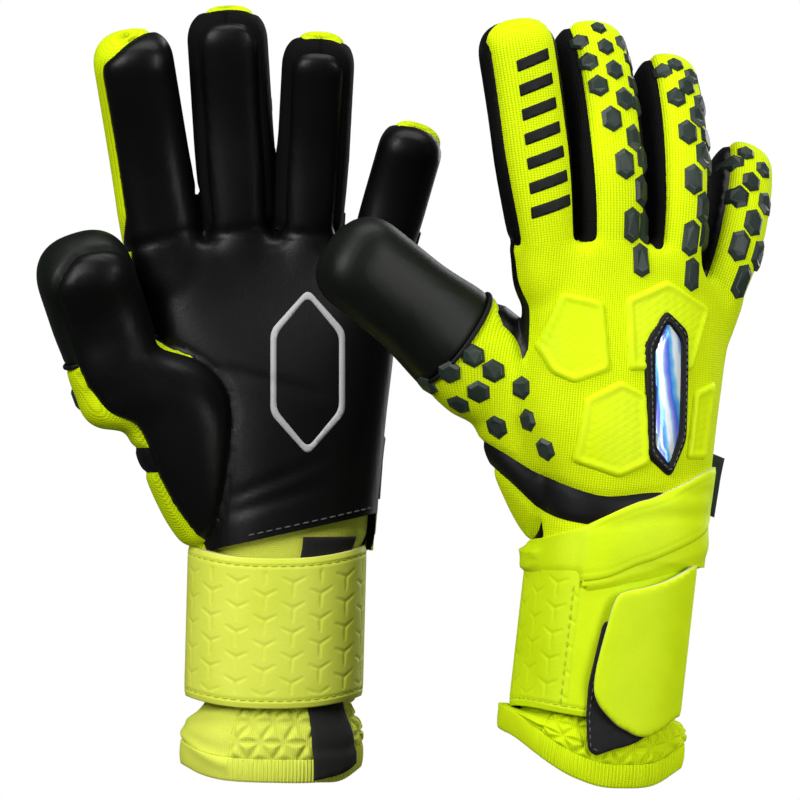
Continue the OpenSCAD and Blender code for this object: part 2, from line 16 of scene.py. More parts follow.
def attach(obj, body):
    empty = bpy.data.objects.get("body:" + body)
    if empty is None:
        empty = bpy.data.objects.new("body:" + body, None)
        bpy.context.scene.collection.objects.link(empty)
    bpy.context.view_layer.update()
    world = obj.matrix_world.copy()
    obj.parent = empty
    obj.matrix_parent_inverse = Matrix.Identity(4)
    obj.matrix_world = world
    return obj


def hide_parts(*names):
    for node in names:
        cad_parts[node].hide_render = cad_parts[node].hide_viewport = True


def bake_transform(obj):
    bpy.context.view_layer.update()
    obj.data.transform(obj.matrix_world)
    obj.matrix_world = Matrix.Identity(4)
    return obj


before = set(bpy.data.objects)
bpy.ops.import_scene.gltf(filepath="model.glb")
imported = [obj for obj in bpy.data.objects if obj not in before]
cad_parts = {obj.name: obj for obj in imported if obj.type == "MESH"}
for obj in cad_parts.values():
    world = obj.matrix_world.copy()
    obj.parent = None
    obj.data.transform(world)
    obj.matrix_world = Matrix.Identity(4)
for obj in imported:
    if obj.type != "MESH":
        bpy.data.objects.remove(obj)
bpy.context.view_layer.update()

MM = 0.001

# Sizes, in millimetres and degrees. They are those of the construction.
FINGERS = ("index", "middle", "ring", "little")
FINGER_LEN = (85, 90, 82.5, 64)
FINGER_W = (30, 29, 27, 24)
FINGER_D = (24, 25, 24, 21)
FINGER_LEAN = (-12, -4, 2.5, 16)
KNUCKLE_X = (-41.1, -13.8, 12.3, 36.1)
KNUCKLE_Y = (2, 0, 2, 8)
KNUCKLE_Z = (111, 114, 113, 100)
THUMB_AT = (-63, 20, 66)
THUMB_LEN, THUMB_W, THUMB_D = 60, 37, 31
CUFF_H = 96
CUFF_GRIP = (56, 46)
CUFF_FOOT = (70, 56)
FLARE_Z = 24
STRAP_Z = (31, 89)
HEM_H = 9
# Curl of the fingers, lean and curl of the thumb, turn of the glove about the upright, tip and sideways step
# of the hand on the cuff, and place in the row
POSES = {
    "left": dict(curl=(34, 15, 24, 20), thumb=(-20, 38), yaw=0, tip=0, shift=5, at=(-51.2, 51.7)),
    "right": dict(curl=(10, 40, 48, 52), thumb=(-56, 8), yaw=25, tip=6, shift=8, at=(73.8, -52.3)),
}
# How the cloth of each glove sits off the construction.
# Fingers: length, lean, width, place of the knuckle, and taper to the base.
# Thumb: length, lean, curl and taper, and place of its joint. Its ball: place of the wrist end, and bow.
# Hand: its thumb edge at the top, its other edge at the heel, and its thumb edge at the wrist.
# Cuff: sideways place of its foot, of the flared skirt and of the strap, width of the strap, and rise of
# the hem on the side away from the camera.
FIT = {
    "left": dict(
        reach=(2, 0, -1, -3), lean=(2.8, 0.4, 0.6, 0), wide=(0, 1, 0, 0), knuckle=(-4.2, -2.0, -1.6, 0),
        taper=(1.04, 0.9, 0.9, 0.9), thumb=(-7, 2, 8, 0.96), joint=(-1.0, 0, -0.5), ball=(-25.5, 12),
        edge=-1.5, heel=0, wrist=1, hem=2.5, skirt=-1.5, aside=-1.3, strap=1.4, far=7),
    "right": dict(
        reach=(1, -2.8, -2.5, 0), lean=(0, 0, -0.5, 2.2), wide=(-1, 0, -2.5, -1), knuckle=(0.7, 0, 2.0, 1.4),
        taper=(0.79, 0.9, 0.9, 0.9), thumb=(7, -2.5, 0, 1.2), joint=(1.5, 0, 2.6), ball=(-16, 12),
        edge=7.5, heel=-3, wrist=4, hem=-4, skirt=2, aside=-0.6, strap=-2.2, far=13),
}
# Rise of the hem on the near side, at shares of the half width, from left to right in the photograph
HEM_ACROSS = (-1, -0.8, -0.55, 0, 0.42, 0.8, 1)
HEM_RISE = {"left": (7, 4, 1.8, 0.2, 0.2, 1.5, 6), "right": (25, 21, 16, 6, 2, 4, 9)}

# The photograph: its size in pixels, millimetres per pixel, the pixel of the middle of the pair on the floor,
# the pair's own middle, and how far down the camera looks
PHOTO_SIZE = 800
PHOTO_MM = 0.385
PHOTO_MIDDLE = (400, 786)
SHIFT_X = -0.2
CAMERA_LIFT = 1.5
CAMERA_FALL = math.tan(math.radians(CAMERA_LIFT))
# Depths between which a line of sight is drawn
SIGHT_Y = (-300, 300)

QUICK_STEP, STEP = 2.4, 1.6
SOFT_FINGERS, SOFT_THENAR, SOFT_THUMB, SOFT_KNUCKLES = 3.0, 2.2, 5.0, 8
# Thickness of the panels
LATEX_T, KNIT_T = 2.0, 1.4
# Exponents of the rounded sections: hand and fingers, ball of the thumb
SECTION, BALL_SECTION = 2.5, 2.2


def detail(quick, full):
    return full


def unit(v):
    """Vectors brought to length 1."""
    return v / np.maximum(np.linalg.norm(v, axis=-1, keepdims=True), 1e-12)


def smooth(low, high, x):
    t = np.clip((x - low) / (high - low), 0, 1)
    return t * t * (3 - 2 * t)


def mix(a, b, t):
    return a + (b - a) * t


def soft_min(a, b, k):
    h = np.clip(0.5 + 0.5 * (b - a) / k, 0, 1)
    return mix(b, a, h) - k * h * (1 - h)


def curve(x, xs, ys):
    """A smooth curve through points, level beyond its ends."""
    xs, ys = np.asarray(xs, float), np.asarray(ys, float)
    slope = np.gradient(ys, xs)
    x = np.clip(x, xs[0], xs[-1])
    i = np.clip(np.searchsorted(xs, x, side="right") - 1, 0, len(xs) - 2)
    h = xs[i + 1] - xs[i]
    t = (x - xs[i]) / h
    s = 1 - t
    ends = ys[i] * (1 + 2 * t) * s * s + ys[i + 1] * (1 + 2 * s) * t * t
    return ends + h * (slope[i] * s - slope[i + 1] * t) * s * t


class Digit:
    """A finger or the thumb: a bent tube with a round tip. Its coordinates: along, across, palmward."""

    # Length of the tip as a share of the depth
    TIP = 0.56
    # Where the taper of the base starts and ends, as shares of the length
    TAPER_RUN = (-0.1, 0.45)
    # How much fuller the pads are, and how often they follow each other
    PAD_SWELL, PAD_WAVE = 0.03, 9
    # Where the root starts to close below the joint, and over what length
    ROOT_FROM, ROOT_RUN = 10, 14

    def __init__(self, base, length, lean, curl, width, depth, taper):
        self.base, self.length = np.array(base, float), length
        a = math.radians(lean)
        self.along = np.array([math.sin(a), 0, math.cos(a)])
        self.across = np.array([math.cos(a), 0, -math.sin(a)])
        self.radius = length / math.radians(curl)
        self.half_w, self.half_d, self.taper = width / 2, depth / 2, taper
        self.round = depth * self.TIP

    def coords(self, p):
        d = p - self.base
        forward, u, q = d @ self.along, d @ self.across, d[:, 1]
        angle = np.arctan2(forward, self.radius - q)
        bent = forward > 0
        s = np.where(bent, angle * self.radius, forward)
        q = np.where(bent, self.radius - np.hypot(forward, self.radius - q), q)
        return s, u, q

    def point(self, s, u, q):
        angle = np.maximum(s, 0) / self.radius
        r = self.radius - q
        straight = np.minimum(s, 0)
        forward = r * np.sin(angle) + straight
        y = self.radius - r * np.cos(angle)
        return (self.base + np.multiply.outer(forward, self.along) + np.multiply.outer(u, self.across)
                + np.multiply.outer(y, (0, 1, 0)))

    def half(self, s):
        """Half width and half depth at s, tapered at the base, a little fuller over the finger's pads."""
        t = s / self.length
        w = self.half_w * mix(self.taper, 1, smooth(*self.TAPER_RUN, t))
        return w, self.half_d * (1 + self.PAD_SWELL * np.sin(t * self.PAD_WAVE))

    def field(self, p):
        s, u, q = self.coords(p)
        w, d = self.half(s)
        tip = np.maximum(0, s - (self.length - self.round)) / self.round
        root = np.maximum(0, -s - self.ROOT_FROM) / self.ROOT_RUN
        e = (np.abs(u) / w) ** SECTION + (np.abs(q) / d) ** SECTION + tip ** SECTION + root ** SECTION
        return (e ** (1 / SECTION) - 1) * np.minimum(w, d)


# Sections of the hand from wrist to fingers: height, left edge, right edge, half depth
HAND_Z = (-16, 0, 20, 45, 70, 92, 120)
HAND_LEFT = (-34, -34.5, -37, -43, -48.5, -53, -54.5)
HAND_RIGHT = (35, 36, 38, 40.5, 43.5, 46, 47)
HAND_DEPTH = (27, 27, 26, 24, 20.5, 16, 12)


class Glove:
    """One glove: its pose, its volumes and the way into the row frame."""

    def __init__(self, side):
        self.side, pose, fit = side, POSES[side], FIT[side]
        self.fit = fit
        self.yaw, self.tip = math.radians(pose["yaw"]), math.radians(pose["tip"])
        self.shift, self.at = pose["shift"], pose["at"]
        self.fingers = [self.finger(i) for i in range(len(FINGERS))]
        lean, curl = pose["thumb"]
        longer, more_lean, tighter, taper = fit["thumb"]
        self.thumb = Digit(np.add(THUMB_AT, fit["joint"]), THUMB_LEN + longer, lean + more_lean,
                           curl + tighter, THUMB_W, THUMB_D, taper)
        self.roll_from = np.array([fit["ball"][0], *self.ROLL_FOOT])

    def finger(self, i):
        fit = self.fit
        base = (KNUCKLE_X[i] + fit["knuckle"][i], KNUCKLE_Y[i], KNUCKLE_Z[i])
        return Digit(base, FINGER_LEN[i] + fit["reach"][i], FINGER_LEAN[i] + fit["lean"][i],
                     POSES[self.side]["curl"][i], FINGER_W[i] + fit["wide"][i], FINGER_D[i], fit["taper"][i])

    def world(self, p):
        """Hand frame in mm to the row frame in metres."""
        return self.cuff_world(self.to_cuff(p))

    def to_cuff(self, p):
        """Hand frame to the cuff's frame, which stands upright on the hem."""
        p = np.asarray(p, float).reshape(-1, 3)
        c, s = math.cos(self.tip), math.sin(self.tip)
        x = p[:, 0] * c + p[:, 2] * s + self.shift
        return np.stack([x, p[:, 1], p[:, 2] * c - p[:, 0] * s + CUFF_H], 1)

    def from_cuff(self, q):
        q = np.asarray(q, float).reshape(-1, 3) - [self.shift, 0, CUFF_H]
        c, s = math.cos(self.tip), math.sin(self.tip)
        return np.stack([q[:, 0] * c - q[:, 2] * s, q[:, 1], q[:, 2] * c + q[:, 0] * s], 1)

    def cuff_world(self, q):
        q = np.asarray(q, float).reshape(-1, 3)
        y = -q[:, 1] if self.side == "left" else q[:, 1]
        c, s = math.cos(self.yaw), math.sin(self.yaw)
        across, away = q[:, 0] * c - y * s, q[:, 0] * s + y * c
        return np.stack([across + self.at[0], away + self.at[1], q[:, 2]], 1) * MM

    def turn(self, d):
        """Directions of the hand frame in the row frame."""
        return (self.world(d) - self.world((0, 0, 0))) / MM

    def from_photo(self, px, py):
        """Start and direction, in the hand frame, of the line of sight through a pixel."""
        x, z = (px - PHOTO_MIDDLE[0]) * PHOTO_MM + SHIFT_X, (PHOTO_MIDDLE[1] - py) * PHOTO_MM
        d = np.array([[x, y, z - y * CAMERA_FALL] for y in SIGHT_Y]) - [*self.at, 0]
        c, s = math.cos(self.yaw), math.sin(self.yaw)
        q = np.stack([d[:, 0] * c + d[:, 1] * s, d[:, 1] * c - d[:, 0] * s, d[:, 2]], 1)
        if self.side == "left":
            q[:, 1] *= -1
        p = self.from_cuff(q)
        return p[0], unit(p[1] - p[0])

    def to_photo(self, p):
        """Pixels of the photograph where points of the hand frame are seen."""
        x, y, z = self.world(p).T / MM
        px = (x - SHIFT_X) / PHOTO_MM + PHOTO_MIDDLE[0]
        return px, PHOTO_MIDDLE[1] - (z + y * CAMERA_FALL) / PHOTO_MM

    def arch(self, p):
        """How far the hand's middle lies towards the palm: the knuckle arch, growing from the wrist."""
        return curve(p[:, 0], KNUCKLE_X, KNUCKLE_Y) * smooth(0, 110, p[:, 2])

    def hand_section(self, z):
        """Left edge, right edge and half depth of the hand at a height."""
        left, right, depth = (curve(z, HAND_Z, table) for table in (HAND_LEFT, HAND_RIGHT, HAND_DEPTH))
        # Each fit fades in or out between two heights
        left = left + self.fit["edge"] * smooth(40, 90, z) + self.fit["wrist"] * (1 - smooth(10, 45, z))
        right = right + self.fit["heel"] * smooth(-5, 15, z) * (1 - smooth(70, 105, z))
        return left, right, depth

    def hand_field(self, p):
        z = p[:, 2]
        left, right, depth = self.hand_section(z)
        half = (right - left) / 2
        u, q = p[:, 0] - (left + right) / 2, p[:, 1] - self.arch(p)
        e = ((np.abs(u) / half) ** SECTION + (np.abs(q) / depth) ** SECTION) ** (1 / SECTION)
        body = (e - 1) * np.minimum(half, depth)
        top = z - curve(p[:, 0], KNUCKLE_X, KNUCKLE_Z) - 1
        return -soft_min(-body, -top, SOFT_KNUCKLES)

    # The ball of the thumb: a bowed roll from the wrist to the thumb's joint. Depth and height of its foot,
    # half width and half depth along it, shape of its bow, and where its ends close and over what length
    ROLL_FOOT = (7, -2)
    ROLL_T = (0, 0.25, 0.55, 0.8, 1)
    ROLL_HALF_W = (10.5, 16.5, 21.5, 20, 16)
    ROLL_HALF_D = (11, 16, 17.5, 17, 15.5)
    ROLL_BOW = 1.6
    ROLL_ENDS, ROLL_END_RUN = (0.1, 1), (9, 15)

    def roll_coords(self, p):
        axis = self.thumb.base - self.roll_from
        length = np.linalg.norm(axis)
        axis /= length
        side = unit(np.cross([0, 1, 0], axis))
        front = np.cross(axis, side)
        d = p - self.roll_from
        t = (d @ axis) / length
        bow = self.fit["ball"][1] * np.sin(np.pi * np.clip(t, 0, 1) ** self.ROLL_BOW)
        return t, length, d @ side - bow, d @ front

    def roll_field(self, p):
        t, length, u, q = self.roll_coords(p)
        w, h = curve(t, self.ROLL_T, self.ROLL_HALF_W), curve(t, self.ROLL_T, self.ROLL_HALF_D)
        over = np.maximum(0, t - self.ROLL_ENDS[1]) * length / self.ROLL_END_RUN[1]
        under = np.maximum(0, self.ROLL_ENDS[0] - t) * length / self.ROLL_END_RUN[0]
        e = sum(a ** BALL_SECTION for a in (np.abs(u) / w, np.abs(q) / h, over, under))
        return (e ** (1 / BALL_SECTION) - 1) * np.minimum(w, h)

    def field(self, p):
        """All volumes in one: negative inside."""
        ball = soft_min(self.roll_field(p), self.thumb.field(p), SOFT_THUMB)
        f = soft_min(self.hand_field(p), ball, SOFT_THENAR)
        for g in self.fingers:
            f = soft_min(f, g.field(p), SOFT_FINGERS)
        return f


def surface(field, low, high, step):
    """The zero surface of a field as triangles: a vertex per crossed cell, a quad per crossed edge."""
    axes = [np.arange(a, b + step, step) for a, b in zip(low, high)]
    shape = tuple(len(a) for a in axes)
    grid = np.stack(np.meshgrid(*axes, indexing="ij"), -1).reshape(-1, 3)
    f = field(grid).reshape(shape)
    inside = f < 0
    cells = tuple(n - 1 for n in shape)
    total, count = np.zeros(cells + (3,)), np.zeros(cells)
    crossings = []
    for axis in range(3):
        a = tuple(slice(0, -1) if k == axis else slice(None) for k in range(3))
        b = tuple(slice(1, None) if k == axis else slice(None) for k in range(3))
        cross = inside[a] != inside[b]
        t = np.where(cross, f[a] / np.where(cross, f[a] - f[b], 1), 0)
        crossings.append((axis, cross, inside[a]))
        others = [k for k in range(3) if k != axis]
        for da in (0, 1):
            for db in (0, 1):
                pick = [slice(None)] * 3
                pick[others[0]] = slice(da, da + cells[others[0]])
                pick[others[1]] = slice(db, db + cells[others[1]])
                c, tt = cross[tuple(pick)], t[tuple(pick)]
                offset = np.zeros(cells + (3,))
                offset[..., axis] = tt
                offset[..., others[0]], offset[..., others[1]] = da, db
                total += offset * c[..., None]
                count += c
    used = count > 0
    number = -np.ones(cells, int)
    number[used] = np.arange(used.sum())
    where = np.argwhere(used)
    verts = np.array(low) + (where + total[used] / count[used][:, None]) * step
    faces = []
    for axis, cross, first_inside in crossings:
        o = [k for k in range(3) if k != axis]
        idx = np.argwhere(cross)
        low_side = (idx[:, o[0]] > 0) & (idx[:, o[1]] > 0)
        high_side = (idx[:, o[0]] < cells[o[0]]) & (idx[:, o[1]] < cells[o[1]])
        idx = idx[low_side & high_side]
        flip = first_inside[tuple(idx.T)]
        corner = []
        for da, db in ((1, 1), (0, 1), (0, 0), (1, 0)):
            at = idx.copy()
            at[:, o[0]] -= da
            at[:, o[1]] -= db
            corner.append(number[tuple(at.T)])
        quad = np.stack(corner, 1)
        if axis == 1:
            flip = ~flip
        quad = np.where(flip[:, None], quad, quad[:, ::-1])
        faces += [quad[:, [0, 1, 2]], quad[:, [0, 2, 3]]]
    return verts, np.concatenate(faces)


def gradient(field, p, eps=0.25):
    g = np.stack([field(p + d) - field(p - d) for d in np.eye(3) * eps], 1)
    return unit(g)


def settle(field, verts, rounds=2):
    """Pulls vertices onto the field's zero surface."""
    for _ in range(rounds):
        verts = verts - gradient(field, verts) * np.clip(field(verts), -1, 1)[:, None]
    return verts


def edges_of(faces):
    """The sides of triangles, lower vertex first."""
    return np.sort(np.concatenate([faces[:, [0, 1]], faces[:, [1, 2]], faces[:, [2, 0]]]), axis=1)


def cut(verts, faces, labels, h, active, snap=0.25):
    """Cuts the active triangles of a mesh along h = 0, so that none has vertices on both sides.

    Close vertices slide onto the line. Neighbours of a cut edge are split too, so no crack opens.
    """
    h, verts = h.copy(), verts.copy()
    edges = np.unique(edges_of(faces[active]), axis=0)

    def crossings():
        c = edges[h[edges[:, 0]] * h[edges[:, 1]] < 0]
        return c, h[c[:, 0]] / (h[c[:, 0]] - h[c[:, 1]])

    crossing, t = crossings()
    slide = {}
    for (a, b), k in zip(crossing.tolist(), t.tolist()):
        for v, w, share in ((a, b, k), (b, a, 1 - k)):
            if share < min(snap, slide.get(v, (0, snap))[1]):
                slide[v] = (w, share)
    for v, (w, share) in slide.items():
        if w not in slide:
            verts[v] += (verts[w] - verts[v]) * share
            h[v] = 0
    h[np.abs(h) < 1e-9] = 0
    crossing, t = crossings()
    new = verts[crossing[:, 0]] + (verts[crossing[:, 1]] - verts[crossing[:, 0]]) * t[:, None]
    between = {(a, b): len(verts) + i for i, (a, b) in enumerate(map(tuple, crossing.tolist()))}
    verts = np.concatenate([verts, new])
    h = np.concatenate([h, np.zeros(len(new))])
    sign = np.sign(h)
    size = len(verts)
    keys = np.array([a * size + b for a, b in between], dtype=np.int64)
    pairs = edges_of(faces).astype(np.int64)
    touched = np.isin(pairs[:, 0] * size + pairs[:, 1], keys).reshape(3, -1).any(0)
    extra, extra_labels = [], []
    for face, label, on in zip(faces[touched].tolist(), labels[touched].tolist(), active[touched].tolist()):
        ring = []
        for i in range(3):
            a, b = face[i], face[(i + 1) % 3]
            ring.append(a)
            m = between.get((min(a, b), max(a, b)))
            if m is not None:
                ring.append(m)
        first = next(i for i, v in enumerate(ring) if v >= size - len(new))
        ring = ring[first:] + ring[:first]
        parts = [[v for v in ring if sign[v] * way >= 0] for way in (1, -1)] if on else [ring]
        for part in parts:
            for i in range(1, len(part) - 1):
                extra.append((part[0], part[i], part[i + 1]))
                extra_labels.append(label)
    if extra:
        faces = np.concatenate([faces[~touched], np.array(extra)])
        labels = np.concatenate([labels[~touched], np.array(extra_labels)])
    return verts, faces, labels, h


def vertex_normals(verts, faces):
    tri = verts[faces]
    n = np.cross(tri[:, 1] - tri[:, 0], tri[:, 2] - tri[:, 0])
    total = np.zeros_like(verts)
    for k in range(3):
        np.add.at(total, faces[:, k], n)
    return unit(total)


# Panels

# How far beyond the joint the thumb cap starts
CAP_FROM = 5.0
# How far the knit of each finger reaches to either side, as shares of the half width
KNIT_SHARE = ((0.97, 0.86), (0.72, 0.84), (0.74, 0.84), (0.84, 0.97))
# The round end of a knit strip: its length, the run over which it closes, and the exponent of its curve
KNIT_END, KNIT_END_RUN, KNIT_POWER = 13, 13.5, 3
# How far forward the seam of a flat latex front lies, as a share of the half depth
FLAT_FRONT = 0.74
# The left index finger: how far it is turned, the level of its seam as a share of the half depth, and how
# much and over what length that falls at the tip
INDEX_TURN, INDEX_LEVEL, INDEX_FALL, INDEX_TIP = 40, 0.22, 0.35, 8
# The palm's slanted lower edge: a point on it and its slope; the lower edge of the back
PALM_EDGE_X, PALM_EDGE_Z, PALM_EDGE_SLOPE = -16, -3.5, 0.22
BACK_EDGE_Z = -7.0
# Depth of the axis that angles round the hand are measured about
WRAP_AXIS_Y = 15
# The angle where the crescent ends in front of the label, and the millimetres of a degree there
CRESCENT_END, CRESCENT_END_MM = 45, 0.3
# The crescent's edges on the right glove, as pixels of the photograph from left to right
CRESCENT_UPPER = ((478, 440), (500, 452), (540, 475), (570, 487), (600, 495), (650, 492))
CRESCENT_LOWER = ((489, 466), (511, 485), (540, 510), (575, 522), (610, 524), (650, 516))


def palm_edge(x):
    """Height of the palm's slanted lower edge."""
    return PALM_EDGE_Z + (x - PALM_EDGE_X) * PALM_EDGE_SLOPE


def wrap_angle(v):
    """Angle round the hand, from the middle of its back, in degrees."""
    return np.degrees(np.arctan2(v[:, 0], WRAP_AXIS_Y - v[:, 1]))


class Skin:
    """A glove's outer surface in the hand frame, cut along its seams. Each face has its panel's number."""

    # The box in the hand frame that holds a glove
    BOX = ((-135, -34, -16), (76, 84, 214))
    # Panels whose edges meet without a visible seam are of one family
    FAMILY = {"latex": 0, "palm": 0, "roll": 1, "knit": 2, "back": 2, "gusset": 3, "cap": 4, "crescent": 5}
    # Depth and width of the groove along a seam, height and run of the puff beside it
    GROOVE, GROOVE_W, PUFF, PUFF_W = 0.9, 1.5, 0.7, 7.0

    def __init__(self, glove, step):
        self.glove = glove
        self.verts, self.faces = surface(glove.field, *self.BOX, step)
        self.verts = settle(glove.field, self.verts)
        self.names = ["hand"]
        self.labels = np.zeros(len(self.faces), int)
        self.cut_panels()
        self.sew()

    def number(self, name):
        if name not in self.names:
            self.names.append(name)
        return self.names.index(name)

    def split(self, of, field, name):
        """The part of panel `of` where field > 0 becomes panel `name`."""
        active = self.labels == self.number(of)
        h = field(self.verts)
        self.verts, self.faces, self.labels, h = cut(self.verts, self.faces, self.labels, h, active)
        s = np.sign(h)[self.faces].sum(1)
        self.labels[(self.labels == self.number(of)) & (s > 0)] = self.number(name)

    def drop(self, name):
        keep = self.labels != self.number(name)
        self.faces, self.labels = self.faces[keep], self.labels[keep]

    def cut_panels(self):
        g = self.glove
        self.split("hand", self.below, "waste")
        self.drop("waste")
        for i, name in enumerate(FINGERS):
            self.split("hand", lambda v: self.on_finger(v, i), name)
        self.split("hand", self.on_thumb, "thumb")
        self.split("hand", lambda v: self.others(v) - g.roll_field(v), "roll")
        self.split("hand", self.palm_side, "palm")
        self.split("roll", lambda v: -self.roll_front(v), "hand_side")
        self.split("thumb", self.thumb_front, "thumb_latex")
        self.split("thumb", lambda v: g.thumb.coords(v)[0] - CAP_FROM, "thumb_cap")
        self.rename("thumb", "thumb_knit")
        self.rename("hand", "back")
        self.rename("hand_side", "back")
        self.split("back", self.on_crescent, "crescent")
        for i, name in enumerate(FINGERS):
            rolled = name in ("index", "little")
            self.split(name, lambda v: self.finger_front(v, i, rolled), name + "_latex")
            if rolled:
                self.rename(name, name + "_knit")
            else:
                self.split(name, lambda v: self.finger_back(v, i), name + "_knit")
                self.rename(name, name + "_gusset")

    def rename(self, old, new):
        self.labels[self.labels == self.number(old)] = self.number(new)

    def below(self, v):
        """Positive below the lower edges of the hand. The palm's is slanted."""
        edge = mix(BACK_EDGE_Z, palm_edge(v[:, 0]), smooth(-2, 8, v[:, 1]))
        return edge - v[:, 2]

    def on_finger(self, v, i):
        """Positive beyond a finger's joint, where no other digit is nearer."""
        g = self.glove
        rest = [f.field(v) for k, f in enumerate(g.fingers) if k != i] + [g.thumb.field(v)]
        return np.minimum(g.fingers[i].coords(v)[0], np.min(rest, axis=0) - g.fingers[i].field(v))

    def on_thumb(self, v):
        """Positive beyond the thumb's joint, where neither hand nor finger is nearer."""
        thumb = self.glove.thumb
        return np.minimum(thumb.coords(v)[0], self.others(v) - thumb.field(v))

    def others(self, v):
        """The nearest of hand and fingers."""
        g = self.glove
        return np.minimum(g.hand_field(v), np.min([f.field(v) for f in g.fingers], axis=0))

    def palm_side(self, v):
        """Positive on the palm: in front of the side seam and right of the thumb's ball."""
        web = smooth(42, 62, -v[:, 0]) * smooth(30, 60, v[:, 2])
        front = v[:, 1] - mix(self.glove.arch(v) - 1, 10, web)
        right = v[:, 0] - curve(v[:, 2], (-16, -2, 66, 84), (-27, -31, -64, -95))
        return np.minimum(front, right)

    def roll_front(self, v):
        """Positive on the latex of the thumb's ball; the knit comes round its outer side."""
        t, _, u, q = self.glove.roll_coords(v)
        wrist_end = mix(-9, 0, smooth(0.05, 0.5, t))
        if self.glove.side == "left":
            up = smooth(0.6, 1.0, t)
            return q + mix(0.9, 0.7, up) * np.minimum(u, 0) + mix(3, -3, up) + wrist_end
        return q + mix(0.9, 0.25, smooth(0.55, 1.0, t)) * np.minimum(u, 0) + 3 + wrist_end

    def thumb_front(self, v):
        """Positive on the thumb's latex. The left thumb is turned: its cap shows along the outer edge."""
        s, u, q = self.glove.thumb.coords(v)
        if self.glove.side == "left":
            return q + 0.7 * np.minimum(u, 0) - 3
        return q - mix(1.5, 3, smooth(0, 20, s))

    def on_crescent(self, v):
        """Positive on the crescent band, whose edges are read off the right glove."""
        px, py = Glove("right").to_photo(v)
        upper, lower = (curve(px, *np.transpose(edge)) for edge in (CRESCENT_UPPER, CRESCENT_LOWER))
        end = (CRESCENT_END - wrap_angle(v)) * CRESCENT_END_MM
        return np.minimum(np.minimum(py - upper, lower - py) * PHOTO_MM, end)

    def finger_front(self, v, i, rolled):
        """Positive on a finger's latex: a flat front, or one rolled round the sides up to the knit."""
        d = self.glove.fingers[i]
        s, u, q = d.coords(v)
        side = v[:, 1] - self.glove.arch(v) + 1
        if not rolled:
            return mix(side, q - FLAT_FRONT * d.half_d, smooth(-3, 8, s))
        if (self.glove.side, i) != ("left", 0):
            return -self.finger_back(v, i)
        # The left index finger is turned, so that its knit shows along one edge and over the tip
        turn = math.radians(INDEX_TURN)
        level = (INDEX_LEVEL - INDEX_FALL * smooth(d.length - INDEX_TIP, d.length, s)) * d.half_d
        return mix(side, q * math.cos(turn) + u * math.sin(turn) + level, smooth(-2, 16, s))

    def finger_back(self, v, i):
        """Positive on a finger's knit: a strip down the back with a round end."""
        d = self.glove.fingers[i]
        s, u, q = d.coords(v)
        w, _ = d.half(s)
        left, right = KNIT_SHARE[i]
        across = np.abs(u) / (w * np.where(u < 0, left, right))
        end = np.maximum(0, s - (d.length - KNIT_END)) / KNIT_END_RUN
        strip = np.minimum((1 - (across ** KNIT_POWER + end ** KNIT_POWER) ** (1 / KNIT_POWER)) * w, -q)
        return mix(-(v[:, 1] - self.glove.arch(v) + 1), strip, smooth(-5, 2, s))

    def family(self):
        kind = [self.FAMILY.get(n.split("_")[-1], 0) for n in self.names]
        for n in ("roll", "thumb_latex"):
            kind[self.names.index(n)] = 1
        return np.array(kind)[self.labels]

    def sew(self):
        """Presses the seams in, puffs the panels up between them, and keeps smooth normals per family."""
        family = self.family()
        edges = edges_of(self.faces)
        kind = np.tile(family, 3)
        order = np.lexsort((edges[:, 1], edges[:, 0]))
        edges, kind = edges[order], kind[order]
        same = (edges[1:] == edges[:-1]).all(1)
        seam = edges[1:][same & (kind[1:] != kind[:-1])]
        a, b = self.verts[seam[:, 0]], self.verts[seam[:, 1]]
        points = np.concatenate([a, (a + b) / 2])
        tree = KDTree(len(points))
        for i, p in enumerate(points):
            tree.insert(p, i)
        tree.balance()
        distance = np.array([tree.find(p)[2] for p in self.verts])
        normal = vertex_normals(self.verts, self.faces)
        puff = self.PUFF * (1 - np.exp(-distance / self.PUFF_W))
        lift = puff - self.GROOVE * np.exp(-(distance / self.GROOVE_W) ** 2) + self.creases()
        self.verts = self.verts + normal * lift[:, None]
        self.normals = {k: vertex_normals(self.verts, self.faces[family == k]) for k in np.unique(family)}
        self.face_family = family
        self.tree = BVHTree.FromPolygons(self.verts.tolist(), self.faces.tolist())

    def creases(self):
        """Soft folds: across the finger bases on the palm, and fanning from the thumb over the palm."""
        v, g = self.verts, self.glove
        dip = np.zeros(len(v))
        for f in g.fingers:
            s, u, q = f.coords(v)
            near = np.exp(-((np.hypot(u, q) / (1.25 * f.half_w)) ** 6)) * smooth(0, 4, q)
            dip -= near * 0.8 * np.exp(-((s - 3 - 0.12 * u) / 2.2) ** 2)
        on_palm = smooth(4, 12, v[:, 1]) * smooth(-30, -14, v[:, 0]) * (1 - smooth(8, 26, v[:, 0]))
        for height, slope in ((14, 0.30), (22, 0.42), (58, -0.25)):
            dip -= on_palm * 0.5 * np.exp(-((v[:, 2] - height - slope * v[:, 0]) / 2.6) ** 2)
        return dip

    def panel(self, name):
        """Faces and normals of a panel."""
        pick = self.labels == self.number(name)
        family = self.face_family[pick]
        return self.faces[pick], self.normals[family[0]]

    def hit(self, origin, direction):
        """Where a ray meets the skin, or None."""
        where = self.tree.ray_cast(Vector(origin), Vector(direction))[0]
        return None if where is None else np.array(where)


def sight(skin, px, py):
    """Where the line of sight through a pixel meets a glove. Off the edge, it looks a little further in."""
    for off in range(0, 60, 2):
        for way in (-1, 1):
            found = skin.hit(*skin.glove.from_photo(px + way * off, py))
            if found is not None:
                return found
    raise ValueError(f"pixel {px}, {py} misses the glove")


# Mesh builders


def volume(points, faces):
    total = 0.0
    for f in faces:
        a = points[f[0]]
        for i in range(1, len(f) - 1):
            total += np.dot(a, np.cross(points[f[i]], points[f[i + 1]]))
    return total


